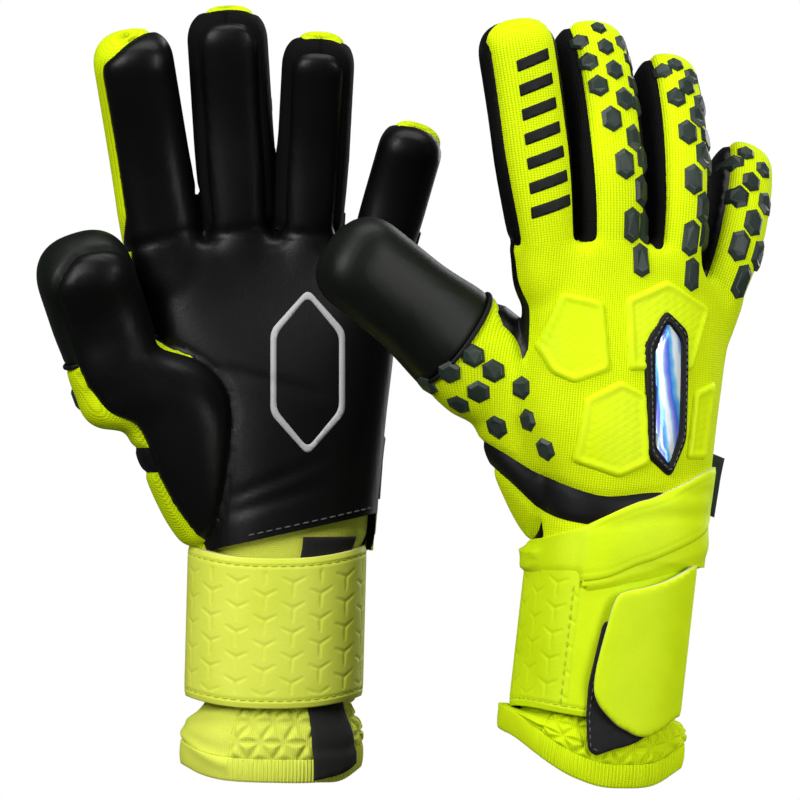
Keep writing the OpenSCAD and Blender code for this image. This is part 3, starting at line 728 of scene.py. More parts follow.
def rims(faces):
    """Directed edges of a face list that have no neighbour."""
    edges = {(f[i], f[(i + 1) % len(f)]) for f in faces for i in range(len(f))}
    return [(a, b) for a, b in edges if (b, a) not in edges]


def closed(top, bottom, faces):
    """Joins a face list over `top` with the same list over `bottom` by a rim. Rim faces come last."""
    n = len(top)
    under = [tuple(v + n for v in reversed(f)) for f in faces]
    rim = [(b, a, a + n, b + n) for a, b in rims(faces)]
    return np.concatenate([top, bottom]), list(faces) + under + rim, len(faces) * 2


def grid_faces(rows, cols, wrap=False):
    """Quads between rows of points."""
    cells = cols if wrap else cols - 1
    return [(r * cols + c, r * cols + (c + 1) % cols, (r + 1) * cols + (c + 1) % cols, (r + 1) * cols + c)
            for r in range(rows - 1) for c in range(cells)]


def capped_faces(rows, cols):
    """Quads between rings of points, with a face over each end."""
    last = (rows - 1) * cols
    ends = [tuple(reversed(range(cols))), tuple(range(last, last + cols))]
    return grid_faces(rows, cols, wrap=True) + ends


def inside(outline, p):
    """Which of the 2-D points p lie in a polygon."""
    hit = np.zeros(len(p), bool)
    for (x0, y0), (x1, y1) in zip(outline, np.roll(outline, -1, axis=0)):
        span = (y0 > p[:, 1]) != (y1 > p[:, 1])
        if abs(y1 - y0) > 1e-12:
            hit ^= span & (p[:, 0] < (x1 - x0) * (p[:, 1] - y0) / (y1 - y0) + x0)
    return hit


def edge_distance(outline, p):
    """Distance of 2-D points from a polygon's outline."""
    best = np.full(len(p), 1e9)
    for a, b in zip(outline, np.roll(outline, -1, axis=0)):
        d = b - a
        t = np.clip(((p - a) @ d) / max(d @ d, 1e-12), 0, 1)
        best = np.minimum(best, np.linalg.norm(p - a - t[:, None] * d, axis=1))
    return best


def resample(outline, step, wrap=True):
    """A polyline with even points about `step` apart, its corners kept."""
    out = []
    ends = np.roll(outline, -1, axis=0) if wrap else outline[1:]
    for a, b in zip(outline, ends):
        n = max(1, int(round(np.linalg.norm(b - a) / step)))
        out += [a + (b - a) * i / n for i in range(n)]
    return np.array(out if wrap else out + [outline[-1]])


def rounded(outline, radius, n=5):
    """A polygon with its corners rounded off."""
    out = []
    for before, p, after in zip(np.roll(outline, 1, axis=0), outline, np.roll(outline, -1, axis=0)):
        a, b = before - p, after - p
        r = min(radius, np.linalg.norm(a) * 0.45, np.linalg.norm(b) * 0.45)
        a, b = p + a / np.linalg.norm(a) * r, p + b / np.linalg.norm(b) * r
        for t in np.linspace(0, 1, n):
            out.append((1 - t) ** 2 * a + 2 * t * (1 - t) * p + t * t * b)
    return np.array(out)


def flat_mesh(outline, step, hole=None):
    """Points and triangles that fill a polygon, less a hole."""
    loops = [resample(np.asarray(o, float), step) for o in (outline, hole) if o is not None]
    edge = np.concatenate(loops)
    low, high = edge.min(0), edge.max(0)
    ticks = [np.arange(low[k], high[k], step) for k in (0, 1)]
    grid = np.stack(np.meshgrid(*ticks, indexing="ij"), -1).reshape(-1, 2)
    grid = grid[inside(loops[0], grid)]
    for loop in loops:
        grid = grid[edge_distance(loop, grid) > 0.45 * step]
    ring, start = [], 0
    for loop in loops:
        ring += [(start + i, start + (i + 1) % len(loop)) for i in range(len(loop))]
        start += len(loop)
    found = delaunay_2d_cdt([Vector(p) for p in np.concatenate([edge, grid])], ring, [], 1, 1e-7)
    points, faces = np.array([tuple(v) for v in found[0]]), [tuple(f) for f in found[2]]
    if hole is None:
        return points, faces
    middle = np.array([points[list(f)].mean(0) for f in faces])
    faces = [f for f, within in zip(faces, inside(loops[1], middle)) if not within]
    used = sorted({v for f in faces for v in f})
    again = {v: i for i, v in enumerate(used)}
    return points[used], [tuple(again[v] for v in f) for f in faces]


def patch(outline, onto, height, step, sink=0.6, hole=None):
    """A patch on a surface. `onto` gives points and normals for 2-D places, `height` the lift at a place."""
    places, faces = flat_mesh(outline, step, hole)
    d = edge_distance(np.asarray(outline, float), places)
    if hole is not None:
        d = np.minimum(d, edge_distance(np.asarray(hole, float), places))
    point, normal = onto(places)
    lift = height(places, d)
    return closed(point + normal * lift[:, None], point - normal * sink, faces)


def tube(path, radius, sides):
    """A round tube along points."""
    path = np.asarray(path, float)
    n = len(path)
    ahead = unit(np.gradient(path, axis=0))
    side = np.cross(ahead[0], (0.3, 0.9, 0.2))
    turn = np.arange(sides) * 2 * math.pi / sides
    rings = []
    for i in range(n):
        side = unit(side - ahead[i] * (side @ ahead[i]))
        other = np.cross(ahead[i], side)
        r = radius[i] if np.ndim(radius) else radius
        rings.append(path[i] + r * (np.outer(np.cos(turn), side) + np.outer(np.sin(turn), other)))
    return np.concatenate(rings), capped_faces(n, sides)


def joined(parts):
    """Several (points, faces) in one."""
    points, faces, at = [], [], 0
    for p, f in parts:
        points.append(p)
        faces += [tuple(v + at for v in face) for face in f]
        at += len(p)
    return np.concatenate(points), faces


# A stitch from end to end: height over the cloth and thickness, as shares of the thread's radius
STITCH_RISE = np.array([-0.6, 0.5, 0.8, 0.5, -0.6])
STITCH_THICK = np.array([0.7, 1, 1, 1, 0.7])
STITCH_SIDES = 6


def stitches(path, normal, length, gap, radius):
    """A row of short threads along a path. Each dips into the cloth at its ends."""
    path, normal = np.asarray(path, float), np.asarray(normal, float)
    run = np.concatenate([[0], np.cumsum(np.linalg.norm(np.diff(path, axis=0), axis=1))])
    parts = []
    for start in np.arange(gap / 2, run[-1] - length, length + gap):
        s = start + length * np.linspace(0, 1, len(STITCH_RISE))
        p = np.stack([np.interp(s, run, path[:, k]) for k in range(3)], 1)
        n = np.stack([np.interp(s, run, normal[:, k]) for k in range(3)], 1)
        p = p + n * (STITCH_RISE * radius)[:, None]
        parts.append(tube(p, radius * STITCH_THICK, STITCH_SIDES))
    return joined(parts)


def make(glove, name, points, faces, slot, space="hand", flat=False, rim=None, rim_slot=None, normals=None,
         uv=None):
    """An object of one glove in the row frame. rim is the number of the first rim face."""
    world = glove.world(points) if space == "hand" else glove.cuff_world(points)
    faces = [tuple(int(v) for v in f) for f in faces]
    if volume(world, faces) < 0:
        faces = [tuple(reversed(f)) for f in faces]
    mesh = bpy.data.meshes.new(name)
    mesh.from_pydata(world.tolist(), [], faces)
    soft = [not flat and (rim is None or i < rim) for i in range(len(faces))]
    mesh.polygons.foreach_set("use_smooth", soft)
    # On the left glove, cuff and strap take their copies with painted light
    mesh.materials.append(MATERIALS[PAINTED_LIGHT_COPIES.get(slot, slot) if glove.side == "left" else slot])
    if rim_slot is not None:
        mesh.materials.append(MATERIALS[rim_slot])
        mesh.polygons.foreach_set("material_index", [int(i >= rim) for i in range(len(faces))])
    corner = np.zeros(len(mesh.loops), int)
    mesh.loops.foreach_get("vertex_index", corner)
    if uv is not None:
        layer = mesh.uv_layers.new(name="weave")
        layer.data.foreach_set("uv", np.asarray(uv, float)[corner].ravel())
    if normals is not None:
        mesh.normals_split_custom_set(glove.turn(normals)[corner].tolist())
    obj = bpy.data.objects.new(f"{glove.side}_{name}", mesh)
    bpy.context.scene.collection.objects.link(obj)
    return obj


def settle_piece(glove, obj, body, nodes=(), blend=None):
    """Puts a piece on its body and hides the parts it stands for. A piece given a blend is neither attached
    nor bent between hand and digit; only its place is baked in.
    """
    name = f"{glove.side}_{body}"
    if blend is None:
        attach(obj, name)
    else:
        start, end = glove.world(np.array(blend))
        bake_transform(obj)
    if nodes:
        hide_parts(*[f"{glove.side}_{n}" for n in nodes])
    return obj


def add(glove, name, mesh, slot, body="hand", nodes=(), blend=None, **look):
    """Makes a piece from (points, faces) and settles it."""
    return settle_piece(glove, make(glove, name, mesh[0], mesh[1], slot, **look), body, nodes, blend)


# Materials


class Shader:
    """A node material, built by calls that return output sockets."""

    def __init__(self, name):
        self.material = bpy.data.materials.new(name)
        self.material.use_nodes = True
        self.tree = self.material.node_tree
        self.bsdf = self.tree.nodes["Principled BSDF"]

    def node(self, kind, _out=0, _in=(), **props):
        n = self.tree.nodes.new(kind)
        for key, value in props.items():
            setattr(n, key, value)
        for key, value in (_in.items() if isinstance(_in, dict) else enumerate(_in)):
            self.feed(n.inputs[key], value)
        return n.outputs[_out]

    def feed(self, socket, value):
        if isinstance(value, bpy.types.NodeSocket):
            self.tree.links.new(value, socket)
        else:
            socket.default_value = value

    def math(self, operation, a, b=0.0, c=0.0):
        return self.node("ShaderNodeMath", _in=(a, b, c), operation=operation)

    def mm(self):
        """Object coordinates in millimetres."""
        place = self.node("ShaderNodeTexCoord", _out=3)
        return self.node("ShaderNodeVectorMath", _in={0: place, 3: 1000.0}, operation="SCALE")

    def noise(self, scale, detail=3.0, roughness=0.5):
        values = {"Vector": self.mm(), "Scale": scale, "Detail": detail, "Roughness": roughness}
        return self.node("ShaderNodeTexNoise", _in=values)

    def ramp(self, fac, low, high, start=0.0, end=1.0):
        n = self.tree.nodes.new("ShaderNodeValToRGB")
        e = n.color_ramp.elements
        e[0].position, e[1].position = start, end
        e[0].color, e[1].color = (*low, 1), (*high, 1)
        self.feed(n.inputs[0], fac)
        return n.outputs[0]

    def remap(self, value, low, high, start=0.0, end=1.0):
        return self.node("ShaderNodeMapRange", _in={0: value, 1: start, 2: end, 3: low, 4: high})

    def bump(self, height, distance):
        values = {"Height": height, "Distance": distance * MM}
        self.feed(self.bsdf.inputs["Normal"], self.node("ShaderNodeBump", _in=values))

    def set(self, **values):
        for key, value in values.items():
            self.feed(self.bsdf.inputs[key.replace("_", " ")], value)
        return self


def knit(name, light, dark, course=0.9, wale=1.0, fuzz=0.15):
    """Fine knit: columns of slanted loops, with painted shade darkening the dips between them."""
    s = Shader(name)
    uv = s.node("ShaderNodeUVMap", uv_map="weave")
    split = s.node("ShaderNodeSeparateXYZ", _in=(uv,)).node
    column = s.math("ABSOLUTE", s.math("SINE", s.math("MULTIPLY", split.outputs[0], math.pi / wale)))
    row = s.math("ADD", s.math("DIVIDE", split.outputs[1], course), s.math("MULTIPLY", column, 0.45))
    loop = s.math("ABSOLUTE", s.math("SINE", s.math("MULTIPLY", row, math.pi)))
    height = s.math("ADD", s.math("MULTIPLY", column, 0.6), s.math("MULTIPLY", loop, 0.4))
    patchy = s.noise(0.05, 4)
    # The colour is partly painted shade, darker where the loops dip, and partly random patches of tone
    tone = s.math("ADD", s.math("MULTIPLY", height, 0.8), s.math("MULTIPLY", patchy, 0.35))
    s.set(Base_Color=s.ramp(tone, dark, light, 0.25, 0.75), Roughness=s.remap(patchy, 0.72, 0.88))
    s.bsdf.inputs["Sheen Weight"].default_value = fuzz
    s.bsdf.inputs["Sheen Roughness"].default_value = 0.45
    s.bsdf.inputs["Sheen Tint"].default_value = (*light, 1)
    s.bsdf.inputs["Specular IOR Level"].default_value = 0.1
    s.bump(height, 0.22)
    return s.material


def foam(name, light, dark, rough=(0.5, 0.66), grain=0.9):
    """Closed foam with a fine pebbled face."""
    s = Shader(name)
    fine, broad = s.noise(grain, 5, 0.6), s.noise(0.06, 3)
    tone = s.math("ADD", s.math("MULTIPLY", broad, 0.7), s.math("MULTIPLY", fine, 0.3))
    s.set(Base_Color=s.ramp(tone, dark, light, 0.3, 0.7), Roughness=s.remap(fine, *rough))
    s.bsdf.inputs["Specular IOR Level"].default_value = 0.16
    s.bump(fine, 0.08)
    return s.material


def latex(name, light, dark, rough, grain=0.8, depth=0.05, shine=0.5):
    """Foam latex: nearly black, softly shining, with a fine skin."""
    s = Shader(name)
    fine, broad = s.noise(grain, 6, 0.65), s.noise(0.035, 3)
    both = s.math("ADD", fine, broad)
    s.set(Base_Color=s.ramp(broad, dark, light, 0.3, 0.75), Roughness=s.remap(both, *rough, 0.6, 1.4))
    s.bsdf.inputs["Specular IOR Level"].default_value = shine
    s.bump(fine, depth)
    return s.material


def woven(name, light, dark, pitch=0.9, rough=0.8):
    """Plain weave tape or felt from two crossed waves, with painted shade darkening the low points of the
    weave.
    """
    s = Shader(name)
    split = s.node("ShaderNodeSeparateXYZ", _in=(s.mm(),)).node
    across = s.math("ADD", split.outputs[0], split.outputs[1])
    warp = s.math("SINE", s.math("MULTIPLY", across, math.tau / pitch))
    weft = s.math("SINE", s.math("MULTIPLY", split.outputs[2], math.tau / pitch))
    height = s.math("MULTIPLY_ADD", s.math("MULTIPLY", warp, weft), 0.5, 0.5)
    worn = s.remap(s.noise(0.4), rough - 0.1, rough + 0.1)
    # The colour follows the weave's height: painted shade, darker where the threads dip
    s.set(Base_Color=s.ramp(height, dark, light, 0.1, 0.9), Roughness=worn)
    s.bump(height, 0.15)
    return s.material


def film(name):
    """Shiny badge film: bands of blue, white and violet that drift up the badge."""
    s = Shader(name)
    split = s.node("ShaderNodeSeparateXYZ", _in=(s.mm(),)).node
    up, across = s.math("MULTIPLY", split.outputs[2], 0.02), s.math("MULTIPLY", split.outputs[0], 0.16)
    wave = s.math("ADD", s.math("ADD", up, across), s.math("MULTIPLY", s.noise(0.09, 2), 0.5))
    ramp = s.tree.nodes.new("ShaderNodeValToRGB")
    e = ramp.color_ramp.elements
    e[0].color, e[1].color = (0.02, 0.12, 0.75, 1), (0.05, 0.2, 0.85, 1)
    for at, colour in ((0.25, (0.15, 0.55, 0.9)), (0.4, (0.9, 0.95, 0.97)), (0.62, (0.8, 0.9, 0.95)),
                       (0.7, (0.3, 0.55, 0.9)), (0.85, (0.25, 0.2, 0.8))):
        e.new(at).color = (*colour, 1)
    s.feed(ramp.inputs[0], s.math("FRACT", wave))
    s.set(Base_Color=ramp.outputs[0], Roughness=s.remap(s.noise(0.5), 0.18, 0.3))
    s.bsdf.inputs["Metallic"].default_value = 0.35
    s.bsdf.inputs["Coat Weight"].default_value = 0.6
    return s.material


# NEON_DEEP is the knit's dark end: painted shade in the dips between loops, and its random darker patches
NEON, NEON_DEEP = (0.7, 0.88, 0.001), (0.36, 0.53, 0.0)
BLACK, DEEP = (0.0035, 0.0035, 0.0037), (0.0018, 0.0018, 0.002)
MATERIALS = {
    "black_latex": latex("black_latex", BLACK, DEEP, (0.32, 0.42), shine=0.18),
    "dark_cap": latex("dark_cap", (0.0036, 0.0058, 0.0034),
                      (0.0016, 0.0028, 0.0016), (0.4, 0.5), 1.4, 0.03, 0.2),
    "neon_knit": knit("neon_knit", NEON, NEON_DEEP),
    "neon_foam": foam("neon_foam", NEON, (0.6, 0.8, 0.0)),
    "black_band": latex("black_band", BLACK, DEEP, (0.5, 0.62), 1.8, 0.03, shine=0.2),
    "badge_film": film("badge_film"),
    "label_weave": woven("label_weave", (0.012, 0.03, 0.014), (0.004, 0.012, 0.005), 0.7),
    "stud_rubber": latex("stud_rubber", (0.026, 0.042, 0.032),
                         (0.012, 0.02, 0.015), (0.36, 0.46), 1.2, 0.03, 0.3),
    "black_mesh": knit("black_mesh", (0.003, 0.003, 0.003), (0.0008, 0.0008, 0.0008), 0.8, 0.9, 0.02),
    "neon_cuff": knit("neon_cuff", (0.68, 0.87, 0.004), (0.5, 0.68, 0.0), 0.7, 0.8),
    # A lighter copy of neon_cuff with painted light, for the left glove
    "painted_light_cuff": knit("painted_light_cuff", (0.86, 0.94, 0.12), (0.68, 0.78, 0.06), 0.7, 0.8),
    "neon_strap": foam("neon_strap", (0.67, 0.87, 0.005), (0.57, 0.78, 0.0), (0.5, 0.64), 1.3),
    # A lighter copy of neon_strap with painted light, for the left glove
    "painted_light_strap": foam("painted_light_strap", (0.84, 0.92, 0.11), (0.75, 0.84, 0.07), (0.46, 0.6), 1.3),
    "black_webbing": woven("black_webbing", (0.008, 0.008, 0.008), (0.002, 0.002, 0.002), 1.1),
    "fastener": woven("fastener", (0.006, 0.006, 0.006), (0.0015, 0.0015, 0.0015), 0.6, 0.85),
    "cut_edge": foam("cut_edge", (0.75, 0.7, 0.42), (0.6, 0.58, 0.25), (0.75, 0.9), 2.0),
    "thread_grey": woven("thread_grey", (0.16, 0.16, 0.16), (0.07, 0.07, 0.07), 0.5),
    "thread_neon": woven("thread_neon", (0.6, 0.76, 0.03), (0.4, 0.55, 0.01), 0.5),
    "palm_print": latex("palm_print", (0.52, 0.52, 0.52), (0.4, 0.4, 0.4), (0.5, 0.62)),
    "back_print": latex("back_print", (0.007, 0.009, 0.006), (0.003, 0.004, 0.003), (0.55, 0.7), shine=0.2),
}
# Painted light: the left cuff and strap get lighter copies of their neon materials, painting in the brighter
# light that falls on them
PAINTED_LIGHT_COPIES = {"neon_cuff": "painted_light_cuff", "neon_strap": "painted_light_strap"}


# The sewn panels

# Lengths along a finger and along the thumb, given with their pieces as the span of a bend that is not made
FINGER_BEND, THUMB_BEND = 20.0, 40.0
# Radii that turn an angle into a place in the cloth: round a finger, and round an axis in front of the palm
FINGER_ROUND, HAND_ROUND, HAND_AXIS_Y = 11, 82, 60
# Node, material, body and thickness of each panel
PANELS = {
    "palm": ("palm_latex", "black_latex", "hand", LATEX_T),
    "roll": ("thenar_roll", "black_latex", "hand", LATEX_T),
    "back": ("backhand_knit", "neon_knit", "hand", KNIT_T),
    "crescent": ("wrist_crescent", "black_band", "hand", KNIT_T),
    "thumb_latex": ("thumb_latex", "black_latex", "thumb", LATEX_T),
    "thumb_cap": ("thumb_cap", "dark_cap", "thumb", KNIT_T),
    "thumb_knit": ("thumb_knit", "neon_knit", "thumb", KNIT_T),
}
for f in FINGERS:
    PANELS[f + "_latex"] = (f + "_latex", "black_latex", f, LATEX_T)
    PANELS[f + "_knit"] = (f + "_knit", "neon_knit", f, KNIT_T)
for f in ("middle", "ring"):
    PANELS[f + "_gusset"] = (f + "_gussets", "black_mesh", f, KNIT_T)
# Panels that stand for no node of their own
EXTRA_PANELS = ("thumb_knit",)


def weave_place(glove, body, p):
    """Where a point lies in the cloth, in mm: across and along."""
    if body in FINGERS:
        s, u, q = glove.fingers[FINGERS.index(body)].coords(p)
        return np.stack([np.arctan2(u, -q) * FINGER_ROUND, s], 1)
    return np.stack([np.arctan2(p[:, 0], HAND_AXIS_Y - p[:, 1]) * HAND_ROUND, p[:, 2]], 1)


def bend_of(glove, body):
    """Two points along a finger or the thumb, given to a piece on it as the span of a bend that is not made;
    None on the hand.
    """
    if body == "hand":
        return None
    if body == "thumb":
        return [glove.thumb.base, glove.thumb.base + glove.thumb.along * THUMB_BEND]
    digit = glove.fingers[FINGERS.index(body)]
    return [digit.base, digit.base + digit.along * FINGER_BEND]


def dress_panels(glove, skin):
    for panel, (node, slot, body, thick) in PANELS.items():
        faces, normals = skin.panel(panel)
        used = np.unique(faces)
        again = np.zeros(len(skin.verts), int)
        again[used] = np.arange(len(used))
        outer, n = skin.verts[used], normals[used]
        mesh = closed(outer, outer - n * thick, [tuple(f) for f in again[faces]])
        place = weave_place(glove, body, outer)
        nodes = () if panel in EXTRA_PANELS else [node]
        add(glove, node, mesh, slot, body, nodes, bend_of(glove, body),
            normals=np.concatenate([n, -n]), uv=np.concatenate([place, place]))


# Stage

CAMERA_FAR, CAMERA_END, SENSOR = 12.0, 20, 36
# What the white world gives to the gloves, and to the camera
WORLD_LIGHT, WORLD_SEEN = 0.1, 1.0
# Place, size and power of the lamps, in metres and watts, and the point they look at
LAMPS = {
    "key": ((-0.75, -0.95, 0.75), (0.5, 0.8), 15),
    "fill": ((0.9, -0.8, 0.35), (0.35, 0.9), 9),
    "top": ((0.05, -0.15, 1.1), (0.9, 0.5), 7),
    "rim": ((0.6, 0.9, 0.5), (0.5, 0.9), 5),
}
LAMP_AIM = (0, 0, 0.16)


def aim(thing, at):
    """Turns a camera or a lamp towards a point."""
    thing.rotation_euler = (Vector(at) - thing.location).to_track_quat("-Z", "Y").to_euler()


def set_camera(scene):
    camera = bpy.data.objects.new("camera", bpy.data.cameras.new("camera"))
    scene.collection.objects.link(camera)
    scene.camera = camera
    target = Vector((SHIFT_X * MM, 0, (PHOTO_MIDDLE[1] - PHOTO_SIZE / 2) * PHOTO_MM * MM))
    lift = math.radians(CAMERA_LIFT)
    camera.location = target + Vector((0, -math.cos(lift), math.sin(lift))) * CAMERA_FAR
    aim(camera, target)
    camera.data.sensor_width = SENSOR
    camera.data.lens = SENSOR * CAMERA_FAR / (PHOTO_SIZE * PHOTO_MM * MM)
    camera.data.clip_end = CAMERA_END


def set_world(scene):
    """The camera sees pure white; the gloves are lit by much less of it."""
    world = bpy.data.worlds.new("white")
    scene.world = world
    world.use_nodes = True
    tree = world.node_tree
    back = tree.nodes["Background"]
    path = tree.nodes.new("ShaderNodeLightPath")
    value = tree.nodes.new("ShaderNodeMapRange")
    value.inputs[3].default_value, value.inputs[4].default_value = WORLD_LIGHT, WORLD_SEEN
    tree.links.new(path.outputs["Is Camera Ray"], value.inputs[0])
    tree.links.new(value.outputs[0], back.inputs["Strength"])
    back.inputs["Color"].default_value = (1, 1, 1, 1)


def set_lamp(scene, name, place, size, power):
    data = bpy.data.lights.new(name, "AREA")
    data.shape, data.size, data.size_y, data.energy = "RECTANGLE", *size, power
    lamp = bpy.data.objects.new(name, data)
    scene.collection.objects.link(lamp)
    lamp.location = place
    aim(lamp, LAMP_AIM)


def set_stage():
    scene = bpy.context.scene
    scene.view_settings.view_transform = "Standard"
    scene.view_settings.look = "None"
    set_camera(scene)
    set_world(scene)
    for name, lamp in LAMPS.items():
        set_lamp(scene, name, *lamp)


set_stage()
GLOVES = {side: Glove(side) for side in ("right", "left")}
SKINS = {side: Skin(g, detail(QUICK_STEP, STEP)) for side, g in GLOVES.items()}
for side, g in GLOVES.items():
    dress_panels(g, SKINS[side])


# Trim on the hand

# Outlines on the back of the right glove, as pixels of the photograph
PAD_PIXELS = (
    ((560, 292), (603, 302), (609, 371), (573, 384), (550, 374), (531, 347)),
    ((624, 299), (666, 280), (709, 309), (691, 371), (627, 371)),
    ((583, 398), (619, 380), (645, 393), (649, 464), (617, 478), (570, 462)),
    ((692, 391), (714, 381), (704, 460), (684, 459)),
)
BADGE_PIXELS = ((664, 310), (686, 332), (684, 440), (668, 478), (645, 456), (642, 344))
HAND_STUD_PIXELS = ((473, 356), (449, 372), (428, 384), (493, 371), (478, 392), (458, 405), (522, 388),
                    (527, 420), (496, 427), (544, 449))
FINGER_STUD_PIXELS = {
    "middle": ((579, 43), (588, 63), (598, 87), (611, 120), (624, 165), (631, 226),
               (598, 29), (605, 48), (614, 71), (624, 100), (634, 139), (641, 192), (640, 261),
               (621, 44), (628, 64), (634, 88), (642, 120), (650, 165), (649, 228)),
    "ring": ((663, 71), (676, 98), (687, 133), (693, 180), (690, 239),
             (675, 65), (686, 87), (697, 117), (703, 156), (703, 209), (691, 275),
             (691, 77), (700, 105), (709, 140), (712, 185), (706, 240)),
    "little": ((733, 163), (738, 197), (739, 246), (746, 153), (751, 182), (753, 223), (741, 282),
               (763, 170), (765, 204), (758, 256)),
}
# Sizes of the studs: on the hand across and along, on a finger from its base to its tip
HAND_STUD = (8.0, 10.0)
FINGER_STUD_T = (0, 0.4, 0.75, 1)
FINGER_STUD_W = (6.9, 7.9, 6.6, 5.0)
FINGER_STUD_L = (13.3, 10.6, 7.2, 5.0)
# The fingers with studs; how near studs come to a finger's side, below its joint and to its tip
STUDDED = (1, 2, 3)
STUD_SIDE, STUD_LOW, STUD_TIP = 0.8, -14, 5
# Rings of a stud from its sunk foot to its flat top: share of the foot's size, height
GEM_RINGS = ((1, -0.7), (1, 0.4), (0.92, 0.65), (0.68, 1.3), (0.62, 1.35))
# Half the width across a hexagon's flats as a share of its radius
HEX_FLAT = 0.866
# The long way of the studs on the hand in the photograph: across and down, in pixels
STUD_WAY = (86, 45)
# Elongated hexagon, corners from the top, in half widths and half heights
HEXAGON = np.array([(0, 1), (1, 0.5), (1, -0.5), (0, -1), (-1, -0.5), (-1, 0.5)])
PALM_PRINT_AT, PALM_PRINT_SIZE, PALM_PRINT_HOLE = (10.4, 62.6), (14.4, 32), (0.84, 0.91)
# The palm's row of stitches: from and to across the hand, and distance from the lower edge
PALM_SEAM_X, PALM_SEAM_UP = (-13, 35), 2.4
# The badge's hole, film and seam, as shares of its outline across and along
BADGE_HOLE, BADGE_FILM, BADGE_SEAM = (0.56, 0.84), (0.64, 0.87), (0.8, 0.93)
# Bars on the index finger: number, first place, step, half width of the first and of the last
BARS, BAR_FROM, BAR_STEP, BAR_HALF = 7, 12, 9.2, (8.5, 7.0)
# Where rays onto the back and the palm of the hand start, and those onto a finger's back start and aim
BACK_FROM, PALM_FROM = -90, 120
FINGER_FROM, FINGER_AIM = -26.0, -2.0
# The welt's angles round the thumb, how deep its ends dive, how high it stands, the angle over which it
# rises, and its radius
WELT_TURN = {"left": (-10, 232), "right": (-10, 186)}
WELT_DIVE, WELT_RISE, WELT_END, WELT_R = -2.4, 0.2, 22, 1.0


def cast(skin, start, aim):
    """Points and normals where rays from start towards aim meet the skin, or the aim where one misses."""
    points = []
    for a, b in zip(np.asarray(start, float), np.asarray(aim, float)):
        found = skin.hit(a, unit(b - a))
        points.append(b if found is None else found)
    points = np.array(points)
    return points, gradient(skin.glove.field, points)


def onto_flat(skin, y):
    """Places (x, z) on the back of the hand, seen from y < 0, or on the palm, seen from y > 0."""
    def onto(places):
        x, z = places[:, 0], places[:, 1]
        return cast(skin, np.stack([x, 0 * x + y, z], 1), np.stack([x, 0 * x, z], 1))
    return onto


def onto_finger(skin, i):
    """Places (across, along) on the back of a finger."""
    digit = skin.glove.fingers[i]

    def onto(places):
        u, s = places[:, 0], places[:, 1]
        return cast(skin, *[digit.point(s, u, np.full(len(s), q)) for q in (FINGER_FROM, FINGER_AIM)])
    return onto


def back_outline(pixels):
    """A photographed outline on the right glove as places (x, z) of the hand frame, for both gloves."""
    return np.array([sight(SKINS["right"], *p) for p in pixels])[:, [0, 2]]


def finger_stud_places(i):
    """Places (across, along) of the studs on a finger, read off the right glove."""
    digit = GLOVES["right"].fingers[i]
    hits = np.array([sight(SKINS["right"], *p) for p in FINGER_STUD_PIXELS[FINGERS[i]]])
    s, u, _ = digit.coords(hits)
    side = STUD_SIDE * digit.half_w
    return np.stack([np.clip(u, -side, side), np.clip(s, STUD_LOW, digit.length - STUD_TIP)], 1)


def pad_height(places, d):
    """A raised rim, and diagonal ribs on the field inside it. Under the badge a pad lies flat."""
    slant = (places[:, 0] * 0.6 - places[:, 1] * 0.8) / 2.4
    ribs = np.abs(slant - np.round(slant)) * 2
    rim = smooth(0, 1.3, d) * 1.5 - smooth(2.2, 3.4, d) * 0.8
    height = rim + smooth(3.6, 4.6, d) * (smooth(0.2, 0.8, ribs) * 0.5 - 0.1)
    from_edge = smooth(0, 1.5, edge_distance(BADGE_OUTLINE, places))
    return mix(height, 0.1, np.where(inside(BADGE_OUTLINE, places), from_edge, 0))


def gem(middle, foot, up):
    """A faceted stud on a six-cornered foot: a low wall, a sloping crown and a flat top."""
    rings = [mix(middle, foot, share) + up * height for share, height in GEM_RINGS]
    return np.concatenate(rings), capped_faces(len(rings), len(foot))


def finger_gem(onto, place, width, length):
    """A stud on a finger, its long way along it."""
    w, h = width / 2, length / 2
    side = h - 0.58 * w
    ring = np.array([(w, side), (0, h), (-w, side), (-w, -side), (0, -h), (w, -side)])
    point, normal = onto(np.concatenate([[place], place + ring]))
    return gem(point[0], point[1:], normal[0])


def hand_gem(glove, place):
    """A stud on the thumb side of the back, its long way across the photograph."""
    middle = settle(glove.field, place[None], 4)
    up = gradient(glove.field, middle)[0]
    start, view = GLOVES["right"].from_photo(*PHOTO_MIDDLE)
    along = GLOVES["right"].from_photo(*np.add(PHOTO_MIDDLE, STUD_WAY))[0] - start
    along = along - view * (along @ up) / min(view @ up, -0.35)
    along = unit(along - up * (along @ up))
    across = np.cross(up, along)
    a = np.radians(np.arange(6) * 60)
    wide, long = HAND_STUD[0] / 2 / HEX_FLAT, HAND_STUD[1] / 2
    ring = np.outer(np.cos(a) * long, along) + np.outer(np.sin(a) * wide, across)
    foot = settle(glove.field, middle + ring, 4)
    return gem(middle[0] + up * 0.5, foot + up * 0.5, up)


def dress_badge(glove, onto):
    """A slim badge: a stitched black rim round a shiny film."""
    outer = rounded(BADGE_OUTLINE, 3)
    middle = outer.mean(0)
    hole, filled, seam = (middle + (outer - middle) * share for share in (BADGE_HOLE, BADGE_FILM, BADGE_SEAM))
    rim = patch(outer, onto, lambda p, d: 0.6 + smooth(0, 1.2, d) * 1.3, 0.9, hole=hole)
    add(glove, "badge_rim", rim, "black_band", nodes=["badge"])
    film_patch = patch(filled, onto, lambda p, d: 0.7 + smooth(0, 3, d) * 0.6, 1.0)
    add(glove, "badge_film", film_patch, "badge_film", nodes=["badge"])
    run = resample(seam, 1.0)
    p, n = onto(np.concatenate([run, run[:1]]))
    add(glove, "badge_stitches", stitches(p + n * 1.95, n, length=1.7, gap=0.9, radius=0.2), "thread_grey")


